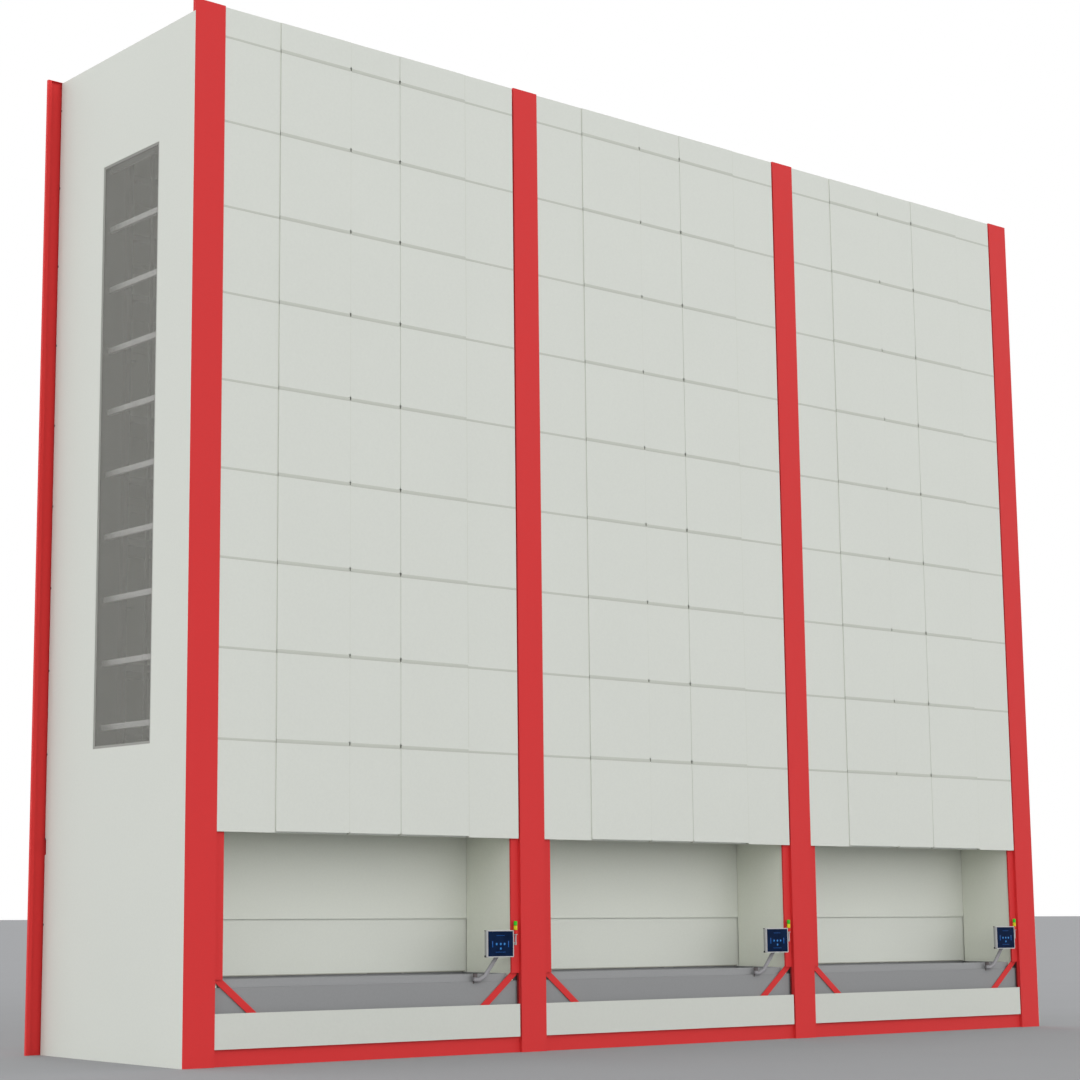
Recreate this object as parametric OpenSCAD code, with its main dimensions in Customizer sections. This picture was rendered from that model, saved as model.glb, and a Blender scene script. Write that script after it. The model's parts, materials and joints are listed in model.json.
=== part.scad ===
// Vertical lift module: a bank of three storage towers that share their posts.
// Frame: +Z up, +X right seen from the front, the front faces -Y. The origin is on the floor
// at the centre of the bank. Depths are measured back from the front face of the posts.

/* [Bank] */
// Distance between the centre lines of two posts
bay_pitch = 4400; // [4200:10:4800]
// Width of a post's cover
post_w = 380; // [360:2:400]
// How much narrower the covers right of a bay are, on the side of the bay
post_trim = 18; // [6:1:24]
// Depth of a post's cover
post_d = 47; // [40:1:56]
// Depth from the front of the posts to the back of the rear panels
housing_d = 2776; // [2500:2:3060]
// Height of the side walls and the roof
housing_h = 10880; // [9800:5:12000]
// How much the front posts stand above the roof
parapet_h = 140; // [100:1:200]
// Height of the front panels' top edge below the top of the posts
panel_top_drop = 12; // [4:1:30]
// Thickness of the cladding sheet
sheet = 2; // [1.5:0.5:3]
// Wall of the folded frame sections
frame_wall = 4; // [3:0.5:5]

/* [Front panels] */
// Height of the panels' lower edge, over the access opening
lintel_z = 2319; // [2250:1:2360]
// Height of the first seam between two rows of panels
first_seam_z = 3255; // [3200:1:3300]
// Height of a row of panels
row_pitch = 929; // [900:1:960]
// Gap between two rows in the outer columns
seam_gap = 16; // [10:1:24]
// How much wider the gap is in the three middle columns
middle_raise = 14; // [6:1:20]
// Gap between two columns of panels
column_gap = 6; // [4:1:10]
// Width of the centre column
centre_col_w = 686; // [600:2:760]
// Width of the columns next to the centre column
side_col_w = 946; // [860:2:1000]
// How far the outer columns lie behind the front of the posts
panel_recess = 4; // [2:1:10]
// How far the columns next to the centre stand in front of the outer columns
side_proud = 8; // [4:1:12]
// How far the centre column stands in front of the outer columns
centre_proud = 4; // [2:1:6]
// Corner notch of the folded middle panels
corner_notch = 20; // [10:1:26]
// Height of the rails behind the seams
rail_h = 80; // [70:1:100]
// Depth of the rails behind the panels
rail_d = 33; // [26:1:40]

/* [Access opening] */
// Height of the sill beam
sill_h = 170; // [140:2:200]
// Height of the low front panel's top edge
low_panel_top = 520; // [480:2:560]
// Depth of the low front panel's fold
low_panel_d = 45; // [42:1:50]
// How far the low panel lies behind the front of the posts
low_recess = 4; // [2:1:8]
// How far the sill lies behind the front of the posts
sill_recess = 38; // [34:1:42]
// Width of a jamb beside the post
jamb_w = 112; // [100:1:130]
// Depth of a jamb
jamb_d = 20; // [14:1:24]
// Height of a jamb's lower end
jamb_z = 852; // [830:1:880]
// Width of the diagonal brace
brace_w = 75; // [60:1:90]
// Slope of the brace
brace_angle = 38.4; // [34:0.2:44]
// Thickness of the brace
brace_t = 6; // [4:1:8]
// How far the brace reaches below the low panel's top edge
brace_tuck = 90; // [60:5:140]
// Gap between the tray's back and the wall of the cavity
cavity_gap = 4; // [3:1:10]
// Height of the cavity's ceiling
ceiling_z = 2345; // [2340:1:2380]
// Depth of the fold on the cavity's ceiling and back wall
liner_d = 20; // [14:1:22]
// Height of the seam between the door and the wall above it
door_seam_z = 1443; // [1400:1:1480]
// How far the door reaches up behind that wall
door_overlap = 20; // [10:1:40]
// Gap between the tray's rim and the door
door_gap = 14; // [8:1:24]
// Thickness of the door
door_t = 20; // [14:1:24]
// Play of the door in its guides
door_play = 0.5; // [0.3:0.1:0.8]

/* [Trays] */
// Height of the surface that the delivered tray stands on
table_z = 770; // [740:1:800]
// Height of a tray
tray_h = 80; // [60:1:100]
// Depth that the columns and the door take between two trays
shaft_space = 211; // [200:1:240]
// Gap between a tray's end and the wall of the rack
tray_end_gap = 80; // [70:1:100]
// Thickness of the tray's sheet
tray_sheet = 3; // [2:0.5:4]
// Depth from the front of the posts to the delivered tray
tray_front = 96; // [94:1:98]
// Width of the tray's turned-in rim
tray_rim = 18; // [12:1:26]
// Number of stiffening ribs in a tray's floor
tray_ribs = 9; // [5:1:15]
// Running gap under a tray
tray_play = 0.3; // [0.2:0.1:0.6]
// Distance between two stored trays
level_pitch = 689; // [640:1:760]
// Height of the lowest stored tray at the front
front_level_z = 2720; // [2600:5:2900]
// Height of the lowest stored tray at the back
rear_level_z = 653; // [560:1:700]
// Depth that a ledge carries of a tray's end
ledge_reach = 35; // [20:1:50]

/* [Frame] */
// Half width of a rack column, from the post's centre line
column_half = 230; // [224:1:236]
// Half width of an end column on its outer side
end_column_half = 130; // [110:2:140]
// Depth of a rack column
column_d = 80; // [70:1:90]
// Depth of the gap between the rear columns and the back of the panels
rear_space = 60; // [58:1:70]
// Gap between the door's guides and the back of the column behind them
shaft_gap = 4; // [3:1:12]
// Height of the base beams
base_h = 60; // [50:1:80]
// Height of a tie rail
tie_h = 60; // [50:1:70]
// Width of a tie rail
tie_w = 40; // [30:1:44]
// Height of the lowest tie rail
first_tie_z = 675; // [640:1:760]
// Width of a rear post at the end of the bank
rear_post_w = 368; // [350:2:380]
// Depth of a rear post
rear_post_d = 36; // [30:2:60]
// Width of the lips on a rear post
rear_lip = 45; // [30:1:60]
// How much a rear post stands above the housing
rear_post_rise = 10; // [5:1:30]
// Depth of the roof's fold
roof_d = 30; // [20:1:40]

/* [Side window] */
// Depth from the front of the posts to the window's front edge
window_front = 675; // [640:5:720]
// Width of the window
window_w = 1132; // [1000:2:1160]
// Height of the window's lower edge
window_z = 3221; // [3100:1:3300]
// Height of the window
window_h = 6406; // [6000:2:6600]
// Depth of the window's reveal
reveal_d = 8; // [6:1:36]
// Thickness of the glass
glass_t = 6; // [4:1:8]
// Height of the lower end of the relief in the wall's rear edge
edge_notch_z = 2121; // [2000:1:2200]
// Height of the relief
edge_notch_h = 183; // [120:1:240]
// Depth of the relief
edge_notch_d = 24; // [12:1:40]
// How far the glass laps behind the wall
glass_lap = 20; // [12:1:30]

/* [Lift] */
// Height of the carriage's end plates
carriage_h = 400; // [360:2:440]
// Height of the end plates below the tray's seat
carriage_drop = 150; // [140:1:160]
// Thickness of the end plates
end_plate_t = 8; // [6:1:10]
// Gap between the carriage and the columns
carriage_side = 15; // [10:1:24]
// Gap between a tray's end and the carriage's end plate
carriage_gap = 10; // [6:1:16]
// Thickness of the carriage's tray ledge
carriage_ledge_t = 8; // [6:1:10]
// Height of the carriage's cross beams
cross_beam_h = 90; // [70:1:96]
// Depth of the carriage's cross beams
cross_beam_d = 60; // [50:1:80]
// Height from the cross beams to the tray's seat
cross_beam_drop = 30; // [26:1:34]
// Diameter of the guide rollers
roller_dia = 59.4; // [50:0.2:64]
// Width of the guide rollers
roller_w = 32; // [24:1:36]
// Diameter of the rollers' axles
axle_dia = 20; // [14:1:26]
// Gap between a roller and its guide
roller_play = 0.3; // [0.2:0.1:0.6]
// Depth of a guide channel along the roller's axle
guide_w = 60; // [54:1:66]
// Wall of the guide channel
guide_wall = 5; // [4:0.5:7]
// Diameter of the lift's drive shaft
shaft_dia = 40; // [30:1:50]
// Running clearance of the shaft in its bearings
shaft_play = 0.1; // [0.05:0.05:0.2]
// Pitch diameter of the drive sprockets
sprocket_dia = 120; // [100:1:140]
// Number of teeth on a sprocket
sprocket_teeth = 15; // [11:1:21]
// Width of the sprockets and of the chains that they climb
sprocket_w = 40; // [30:1:44]
// Thickness of the lift chains
chain_t = 20; // [14:1:30]
// Diameter of the extractor's guide rods
rod_dia = 20; // [14:1:22]
// Gap between the extractor and its guide rods
rod_play = 0.1; // [0.05:0.05:0.2]
// Diameter of the gear motor
motor_dia = 120; // [100:2:130]

/* [Console] */
// Width of the monitor
monitor_w = 380; // [340:2:420]
// Height of the monitor
monitor_h = 290; // [250:2:310]
// Depth of the monitor
monitor_d = 52; // [40:1:54]
// Corner radius of the monitor
monitor_r = 12; // [6:1:20]
// Width of the frame around the screen
bezel_w = 10; // [8:1:20]
// Depth of the screen behind the frame
screen_recess = 2; // [1:0.5:4]
// Thickness of the screen
screen_t = 4; // [3:0.5:6]
// Height of the monitor's lower edge
monitor_z = 1028; // [1000:1:1060]
// Distance of the monitor's middle from the bay's centre
monitor_x = 1688; // [1640:1:1700]
// How far the monitor's face stands in front of the posts
console_reach = 50; // [46:1:60]
// Height of the tilt pin above the monitor's lower edge
tilt_rise = 36; // [32:1:60]
// Diameter of the tilt pin
tilt_pin_dia = 12; // [8:1:16]
// Clearance of the pins on the console
pin_play = 0.1; // [0.05:0.05:0.2]
// Diameter of the arm's tube
arm_dia = 44; // [36:1:46]
// Distance of the arm's pivot from the bay's centre
arm_pivot_x = 1396; // [1380:1:1420]
// Depth of the arm behind the front of the posts
arm_depth = 40; // [38:1:44]
// Diameter of the pivot's knuckle
knuckle_dia = 52; // [46:1:54]
// Height of the pivot's knuckle
knuckle_h = 40; // [30:1:50]
// Diameter of the arm's pivot pin
pivot_pin_dia = 24; // [16:1:28]

/* [Stack light] */
// Diameter of the lenses
lens_dia = 40; // [32:1:48]
// Height of the green lens
green_h = 49; // [40:1:60]
// Height of the amber lens
amber_h = 50; // [36:1:54]
// Height of the red lens
red_h = 44; // [36:1:54]
// Height of the underside of the lenses
lens_z = 1274; // [1240:1:1300]
// Length of the pole under the lenses
light_pole_h = 108; // [80:2:140]
// Diameter of the pole
light_pole_dia = 18; // [14:1:26]
// Height of the lens stack's foot
light_foot_h = 8; // [5:1:14]

/* [Hidden] */
BAYS = 3;
$fn = 48;

RED = [0.79, 0.22, 0.22];
WHITE = [0.82, 0.83, 0.80];
GREY = [0.56, 0.57, 0.58];
DARK = [0.25, 0.25, 0.26];
GLASS = [0.40, 0.40, 0.39, 0.6];
STEEL = [0.66, 0.67, 0.68];

eps = 1;
front_y = -(housing_d + rear_post_d - console_reach) / 2;
post_h = housing_h + parapet_h;
post_edge = (bay_pitch - post_w) / 2;
bay_free = [-post_edge, post_edge + post_trim];
rack_edge = bay_pitch / 2 - column_half;
panel_top = post_h - panel_top_drop;

// Rows of front panels
least_top_row = 100;
seam_count = floor((panel_top - first_seam_z - least_top_row) / row_pitch) + 1;
seams = [for (k = [0 : seam_count - 1]) first_seam_z + k * row_pitch];
rail_below_seam = (rail_h - middle_raise) / 2;
centre_edge = centre_col_w / 2;
side_edge = centre_edge + side_col_w;
post_gap = 2;

// Rows of rear panels reach down to the floor and up to the roof
rear_rows_below = floor((first_seam_z - 2 * rail_h) / row_pitch);
rear_seam_count = floor((housing_h - first_seam_z - least_top_row) / row_pitch) + 1;
rear_seams = [for (k = [-rear_rows_below : rear_seam_count - 1]) first_seam_z + k * row_pitch];
rear_panel_foot = 30;

// Depths of the rack, from the front of the posts
rail_back = post_d + rail_d;
rear_back = housing_d - rear_space;
rear_rail_back = rear_back + rail_d;
tray_half = rack_edge - tray_end_gap;
tray_set = tray_front - rail_back;
rear_tray_back = rear_back - tray_set / 2;
tray_d = (rear_tray_back - tray_front - 2 * shaft_space) / 3;
shaft_mid = (tray_front + rear_tray_back) / 2;
tie_side_gap = 10;
part_gap = 2;

// Door behind the access cavity
cavity_d = tray_front + tray_d + cavity_gap;
door_guide_lip = 2;
door_guide_back = 4;
guide_seat_gap = 0.5;
door_guide_w = 40;
door_guide_web = 8;
door_guide_front = cavity_d + liner_d + guide_seat_gap;
door_front = door_guide_front + door_guide_lip + door_play;
door_guide_rear = door_front + door_t + door_play + door_guide_back;
door_z = table_z + tray_play + tray_h + door_gap;
door_half = rack_edge - door_guide_web - door_play;

// Lift shaft and the columns round it
shaft_front = door_guide_rear + shaft_gap;
shaft_rear = 2 * shaft_mid - shaft_front;
carriage_half = shaft_mid - shaft_front - carriage_side;
columns_d = [
    [rail_back, rail_back + column_d],
    [shaft_front - column_d, shaft_front],
    [shaft_rear, shaft_rear + column_d],
    [rear_back - column_d, rear_back]
];
column_top = housing_h - roof_d;

// Access cavity
jamb_recess = sill_recess - frame_wall + sheet;
brace_front = jamb_recess + jamb_d;
brace_bar = brace_w / cos(brace_angle);
liner_gap = 27;
liner_x = rack_edge - liner_gap;
liner_foot = 2;
table_lip_d = 20;
table_lip_t = 8;
apron_t = 8;
apron_front = rail_back - part_gap - apron_t;
apron_tuck = 110;
apron_z = low_panel_top - apron_tuck;
runner_w = 120;
runner_h = 30;
table_beam_h = 80;
table_beam_d = 50;
cabinet_w = 600;
cabinet_d = 200;
cabinet_h = 380;
cabinet_inset = 160;
cabinet_door_t = 20;

// Stored trays
front_levels = floor((column_top - front_level_z - tray_h) / level_pitch) + 1;
rear_levels = floor((column_top - rear_level_z - tray_h) / level_pitch) + 1;
ledge_t = 4;
ledge_leg = 40;

// Lift carriage
plate_x = tray_half + carriage_gap;
plate_z = table_z - carriage_drop;
beam_top = table_z - cross_beam_drop;
guide_edge_gap = 5;
guide_x = rack_edge + guide_edge_gap;
guide_depth = roller_dia + 2 * (roller_play + guide_wall);
roller_front = shaft_front + guide_depth / 2;
roller_rear = shaft_rear - guide_depth / 2;
roller_set = 15;
roller_x = guide_x + roller_set;
axle_out = roller_x - plate_x - end_plate_t;
roller_margin = 45;
drive_rise = 20;
drive_z = beam_top - cross_beam_h + drive_rise;
bearing_wall = 15;
bearing_l = 24;
chain_gap = 0.3;
chain_d = shaft_mid + sprocket_dia / 2 + chain_gap;
sprocket_gap = 37;
sprocket_x = plate_x + end_plate_t + sprocket_gap;
rod_inset = 190;
rod_x = tray_half - rod_inset;
rod_rise = 14;
rod_z = beam_top + rod_rise;
rod_block_w = 50;
rod_block_d = 40;
beam_inset = 40;
motor_x = -630;
gearbox_w = 140;
gearbox_d = 140;
gearbox_h = 115;
motor_fins = 7;
fin_pitch = 24;
fin_t = 10;
fin_h = 8;
plate_window_w = 150;
plate_window_pitch = 260;
plate_window_edge = 60;
extractor_d = 60;
extractor_t = 18;
extractor_overhang = 60;
slider_w = 80;
slider_h = 26;

// Console
monitor_back = monitor_d - console_reach;
tilt_z = monitor_z + tilt_rise;
arm_head_shift = 26;
arm_head_x = monitor_x + arm_head_shift;
arm_head_w = 60;
arm_head_dia = 40;
ear_t = 10;
ear_gap = 0.5;
knuckle_drop = 34;
knuckle_z = table_z + tray_h - knuckle_drop;
arm_hook = 26;
arm_low_z = knuckle_z - arm_hook;
arm_bend = [50, -4];
arm_rise = [134, 32];
arm_path = [
    [arm_pivot_x, knuckle_z - ear_gap],
    [arm_pivot_x, arm_low_z],
    [arm_pivot_x, arm_low_z] + arm_bend,
    [arm_pivot_x, arm_low_z] + arm_rise,
    [arm_head_x, tilt_z - arm_head_dia / 2]
];
elbow_rise = 1;
bracket_t = 14;
bracket_drop = 24;
bracket_shoulder = 4;

// Stack light
light_shift = 6;
light_x = post_edge - jamb_w / 2 - light_shift;
light_bracket_w = 30;

function line_x(i) = (i - BAYS / 2) * bay_pitch;
function bay_x(b) = (b - (BAYS + 1) / 2) * bay_pitch;
function at_depth(d) = front_y + d;

// A box from ranges of x, depth and height
module block(x, d, z) {
    translate([x[0], at_depth(d[0]), z[0]])
        cube([x[1] - x[0], d[1] - d[0], z[1] - z[0]]);
}

// A folded panel: a face towards the front, with its edges turned back
module front_pan(x, d, z, wall = sheet) {
    difference() {
        block(x, d, z);
        block([x[0] + wall, x[1] - wall], [d[0] + wall, d[1] + eps], [z[0] + wall, z[1] - wall]);
    }
}

// A folded panel whose face is towards the back
module rear_pan(x, d, z, wall = sheet) {
    difference() {
        block(x, d, z);
        block([x[0] + wall, x[1] - wall], [d[0] - eps, d[1] - wall], [z[0] + wall, z[1] - wall]);
    }
}

// A channel along Z with its back turned to the given side of the depth
module upright_channel(x, d, z, wall, open_front) {
    difference() {
        block(x, d, z);
        block([x[0] + wall, x[1] - wall],
              open_front ? [d[0] - eps, d[1] - wall] : [d[0] + wall, d[1] + eps],
              [z[0] - eps, z[1] + eps]);
    }
}

module each_bay() {
    for (b = [1 : BAYS])
        translate([bay_x(b), 0, 0])
            children();
}

// A piece on the right of the bay and its mirror image on the left
module both_sides() {
    for (side = [0, 1])
        mirror([side, 0, 0])
            children();
}

module front_posts() {
    color(RED)
        for (i = [0 : BAYS]) {
            x = [(i == 0 ? 0 : post_trim) - post_w / 2, post_w / 2];
            translate([line_x(i), 0, 0])
                difference() {
                    block(x, [0, post_d], [0, post_h]);
                    block(x + [frame_wall, -frame_wall], [frame_wall, post_d + eps],
                          [-eps, post_h - frame_wall]);
                }
        }
}

// A lipped channel, open to the front, with a cap
module rear_post(x) {
    back = housing_d + rear_post_d;
    top = housing_h + rear_post_rise;
    difference() {
        block(x, [housing_d, back], [0, top]);
        block([x[0] + frame_wall, x[1] - frame_wall],
              [housing_d + frame_wall, back - frame_wall], [-eps, top - frame_wall]);
        block([x[0] + rear_lip, x[1] - rear_lip],
              [housing_d - eps, housing_d + 2 * frame_wall], [-eps, top - frame_wall]);
    }
}

module rear_posts() {
    color(RED)
        for (i = [0 : BAYS])
            translate([line_x(i), 0, 0])
                rear_post(i == 0 ? [-rear_post_w, 0]
                        : i == BAYS ? [0, rear_post_w]
                        : [-post_w / 2, post_w / 2]);
}

module sill_beams() {
    color(RED)
        each_bay()
            difference() {
                block(bay_free, [sill_recess, rail_back], [0, sill_h]);
                block(bay_free + [-eps, eps], [sill_recess + frame_wall, rail_back - frame_wall],
                      [frame_wall, sill_h - frame_wall]);
            }
}

module access_jambs() {
    color(RED)
        each_bay()
            for (x = [[bay_free[0], bay_free[0] + jamb_w], [bay_free[1] - jamb_w, bay_free[1]]])
                upright_channel(x, [jamb_recess, brace_front], [jamb_z, lintel_z], frame_wall, false);
}

// A flat bar from behind the jamb's lower end down behind the low panel
module brace(outer) {
    slope = tan(brace_angle);
    foot = low_panel_top - brace_tuck;
    translate([0, at_depth(brace_front + brace_t), 0])
        rotate([90, 0, 0])
            linear_extrude(brace_t)
                polygon([
                    [outer, jamb_z],
                    [outer, jamb_z + brace_bar],
                    [outer - (jamb_z + brace_bar - foot) / slope, foot],
                    [outer - (jamb_z - foot) / slope, foot]
                ]);
}

module access_braces() {
    color(RED)
        each_bay() {
            brace(bay_free[1]);
            mirror([1, 0, 0])
                brace(-bay_free[0]);
        }
}

// The lower and upper edge of a row of panels
function row_edges(r, raise) = [
    (r == 0 ? lintel_z : seams[r - 1] + seam_gap / 2) + raise,
    r == seam_count ? panel_top : seams[r] - seam_gap / 2
];

module outer_front_panels() {
    color(WHITE)
        each_bay()
            both_sides()
                for (r = [0 : seam_count])
                    front_pan([side_edge + column_gap / 2, post_edge - post_gap],
                              [panel_recess, post_d], row_edges(r, 0));
}

// The cut corner beside the centre column, at a panel's lower edge
module notch(x, z) {
    translate([x, at_depth(post_d + eps), z])
        rotate([90, 45, 0])
            linear_extrude(post_d + side_proud + 2 * eps)
                square(corner_notch, center = true);
}

module middle_front_panels() {
    inner = [-centre_edge + column_gap / 2, centre_edge - column_gap / 2];
    outer = [centre_edge + column_gap / 2, side_edge - column_gap / 2];
    color(WHITE)
        each_bay()
            for (r = [0 : seam_count]) {
                z = row_edges(r, middle_raise);
                difference() {
                    front_pan(inner, [panel_recess - centre_proud, post_d], z);
                    for (x = inner)
                        notch(x, z[0]);
                }
                both_sides()
                    difference() {
                        front_pan(outer, [panel_recess - side_proud, post_d], z);
                        notch(outer[0], z[0]);
                    }
            }
}

// The low panel is open at its top, where the braces go down behind it
module low_front_panels() {
    x = [-post_edge + post_gap, post_edge - post_gap];
    back = low_recess + low_panel_d;
    color(WHITE)
        each_bay()
            difference() {
                block(x, [low_recess, back], [sill_h, low_panel_top]);
                block(x + [sheet, -sheet], [low_recess + sheet, back + eps],
                      [sill_h + sheet, low_panel_top + eps]);
            }
}

// The left wall about the left post's centre line; the right wall is its mirror image
module side_wall(window) {
    face = [-post_w / 2 - sheet, -post_w / 2];
    fold = [-post_w / 2 - sheet, -end_column_half];
    mid_column = column_d / 2;
    difference() {
        union() {
            block(face, [0, housing_d], [0, housing_h]);
            for (d = [post_d, rail_back + mid_column, rear_back - mid_column, housing_d - sheet])
                block(fold, [d, d + sheet], [0, housing_h]);
            block(fold, [post_d, housing_d], [housing_h - sheet, housing_h]);
            if (window)
                block([face[0], face[1] + reveal_d],
                      [window_front - sheet, window_front + window_w + sheet],
                      [window_z - sheet, window_z + window_h + sheet]);
        }
        if (window)
            block([face[0] - eps, face[1] + reveal_d + eps], [window_front, window_front + window_w],
                  [window_z, window_z + window_h]);
        translate([face[0] - eps, at_depth(housing_d), 0])
            rotate([90, 0, 90])
                linear_extrude(fold[1] - fold[0] + 2 * eps)
                    polygon([
                        [eps, edge_notch_z],
                        [-edge_notch_d, edge_notch_z + edge_notch_d / 2],
                        [-edge_notch_d, edge_notch_z + edge_notch_h - edge_notch_d / 2],
                        [eps, edge_notch_z + edge_notch_h]
                    ]);
    }
}

module left_side_wall() {
    color(WHITE)
        translate([line_x(0), 0, 0])
            side_wall(true);
}

module right_side_wall() {
    color(WHITE)
        translate([line_x(BAYS), 0, 0])
            mirror([1, 0, 0])
                side_wall(false);
}

module side_window() {
    inner = line_x(0) - post_w / 2 + reveal_d;
    color(GLASS)
        block([inner, inner + glass_t],
              [window_front - glass_lap, window_front + window_w + glass_lap],
              [window_z - glass_lap, window_z + window_h + glass_lap]);
}

// How far the roof and the rear panels of a bay reach to its left and to its right
function bay_reach(b) = [
    -bay_pitch / 2 - (b == 1 ? end_column_half : 0) + part_gap,
    bay_pitch / 2 + (b == BAYS ? end_column_half : 0) - part_gap
];

module rear_panels() {
    rows = len(rear_seams);
    color(WHITE)
        for (b = [1 : BAYS])
            translate([bay_x(b), 0, 0])
                for (r = [0 : rows], half = [0, 1])
                    rear_pan(half == 0 ? [bay_reach(b)[0], -column_gap / 2]
                                       : [column_gap / 2, bay_reach(b)[1]],
                             [rear_rail_back, housing_d],
                             [r == 0 ? rear_panel_foot : rear_seams[r - 1] + seam_gap / 2,
                              r == rows ? housing_h - part_gap : rear_seams[r] - seam_gap / 2]);
}

module roof_panels() {
    color(WHITE)
        for (b = [1 : BAYS])
            translate([bay_x(b), 0, 0]) {
                reach = bay_reach(b);
                depth = [post_d + part_gap, rear_rail_back - part_gap];
                difference() {
                    block(reach, depth, [column_top, housing_h]);
                    block(reach + [sheet, -sheet], depth + [sheet, -sheet],
                          [column_top - eps, housing_h - sheet]);
                }
            }
}

// The inner edge and the outer edge of the columns on a post line
function column_x(i, narrow) = [
    i == 0 ? (narrow ? tie_side_gap : -end_column_half) : -column_half,
    i == BAYS ? (narrow ? -tie_side_gap : end_column_half) : column_half
];

module rack_columns() {
    color(STEEL)
        for (i = [0 : BAYS])
            translate([line_x(i), 0, 0])
                for (k = [0 : 3])
                    upright_channel(column_x(i, k == 1), columns_d[k], [base_h, column_top],
                                    frame_wall, k == 1 || k == 3);
}

module base_frame() {
    gap = guide_seat_gap;
    color(DARK) {
        for (i = [0 : BAYS])
            translate([line_x(i), 0, 0])
                difference() {
                    block(column_x(i, false), [rail_back, rear_back], [0, base_h]);
                    block(column_x(i, false) + [frame_wall, -frame_wall],
                          [rail_back - eps, rear_back + eps], [frame_wall, base_h - frame_wall]);
                }
        each_bay()
            for (d = [rail_back + part_gap, rear_back - column_d])
                difference() {
                    block([-rack_edge + gap, rack_edge - gap], [d, d + column_d], [0, base_h]);
                    block([-rack_edge, rack_edge], [d + frame_wall, d + column_d - frame_wall],
                          [frame_wall, base_h - frame_wall]);
                }
    }
}

// An angle that carries one end of a tray, from the front column to the back column
module ledge(d, z) {
    block([tray_half - ledge_reach, rack_edge], d, [z - ledge_t, z]);
    block([rack_edge - ledge_t, rack_edge], d, [z - ledge_leg, z]);
}

module tray_ledges() {
    color(STEEL)
        each_bay()
            both_sides() {
                for (k = [0 : front_levels - 1])
                    ledge([columns_d[0][0], columns_d[1][1]], front_level_z + k * level_pitch);
                for (k = [0 : rear_levels - 1])
                    ledge([columns_d[2][0], columns_d[3][1]], rear_level_z + k * level_pitch);
            }
}

// Square tubes across the lift shaft, on each post line
module tie_rails() {
    count = floor((column_top - first_tie_z - tie_h) / level_pitch) + 1;
    wall = frame_wall - 1;
    color(STEEL)
        for (i = [0 : BAYS], k = [0 : count - 1]) {
            x = i == 0 ? [tie_side_gap - tie_w, tie_side_gap]
              : i == BAYS ? [-tie_side_gap, tie_w - tie_side_gap]
              : [-tie_w / 2, tie_w / 2];
            d = [i == 0 || i == BAYS ? columns_d[0][0] + frame_wall : shaft_front, shaft_rear];
            z = first_tie_z + k * level_pitch;
            translate([line_x(i), 0, 0])
                difference() {
                    block(x, d, [z, z + tie_h]);
                    block(x + [wall, -wall], d + [-eps, eps], [z + wall, z + tie_h - wall]);
                }
        }
}

// Horizontal rails that the front and rear panels are fixed to
module cladding_rails() {
    end_gap = 5;
    x = [-bay_pitch / 2 + end_gap, bay_pitch / 2 - end_gap];
    color(WHITE)
        each_bay() {
            front_pan(x, [post_d, rail_back], [lintel_z, lintel_z + rail_h]);
            for (z = seams)
                front_pan(x, [post_d, rail_back], [z - rail_below_seam, z - rail_below_seam + rail_h]);
            for (z = rear_seams)
                rear_pan(x, [rear_back, rear_rail_back], [z - rail_h / 2, z + rail_h / 2]);
        }
}

// A folded tray with a turned-in rim, about the bay's centre, standing at height z
module tray(d, z) {
    inner = tray_half - tray_sheet;
    front = d[0] + tray_sheet;
    back = d[1] - tray_sheet;
    top = z + tray_h;
    difference() {
        block([-tray_half, tray_half], d, [z, top]);
        block([-inner, inner], [front, back], [z + tray_sheet, top - tray_sheet]);
        block([-inner + tray_rim, inner - tray_rim], [front + tray_rim, back - tray_rim],
              [z + tray_sheet, top + eps]);
    }
}

module stored_trays() {
    empty_every = 4;
    color(GREY)
        each_bay() {
            for (k = [0 : front_levels - 1])
                if (k % empty_every != 1)
                    tray([tray_front, tray_front + tray_d], front_level_z + k * level_pitch + tray_play);
            for (k = [0 : rear_levels - 1])
                if (k % empty_every != 2)
                    tray([rear_tray_back - tray_d, rear_tray_back],
                         rear_level_z + k * level_pitch + tray_play);
        }
}

// Channels for the guide rollers, open towards the carriage
module lift_guides() {
    color(STEEL)
        each_bay()
            both_sides()
                for (d = [shaft_front, shaft_rear - guide_depth])
                    difference() {
                        block([guide_x, guide_x + guide_w], [d, d + guide_depth], [base_h, column_top]);
                        block([guide_x - eps, guide_x + guide_w - guide_wall],
                              [d + guide_wall, d + guide_depth - guide_wall],
                              [base_h - eps, column_top + eps]);
                    }
}

module lift_chains() {
    color(DARK)
        each_bay()
            both_sides()
                block([sprocket_x, sprocket_x + sprocket_w], [chain_d, chain_d + chain_t],
                      [base_h, column_top]);
}

// The fixed wall above the door, and the two guides that the door slides in
module shutter_frames() {
    back = cavity_d + liner_d;
    guide_d = [door_guide_front, door_guide_rear];
    wall_half = liner_x - part_gap;
    color(WHITE)
        each_bay() {
            front_pan([-wall_half, wall_half], [cavity_d, back], [door_seam_z, ceiling_z + liner_d]);
            both_sides()
                difference() {
                    block([rack_edge - door_guide_w, rack_edge], guide_d,
                          [table_z + liner_foot, ceiling_z + liner_d]);
                    block([rack_edge - door_guide_w - eps, rack_edge - door_guide_web],
                          [door_front - door_play, door_front + door_t + door_play],
                          [table_z, ceiling_z + liner_d + eps]);
                }
        }
}

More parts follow.
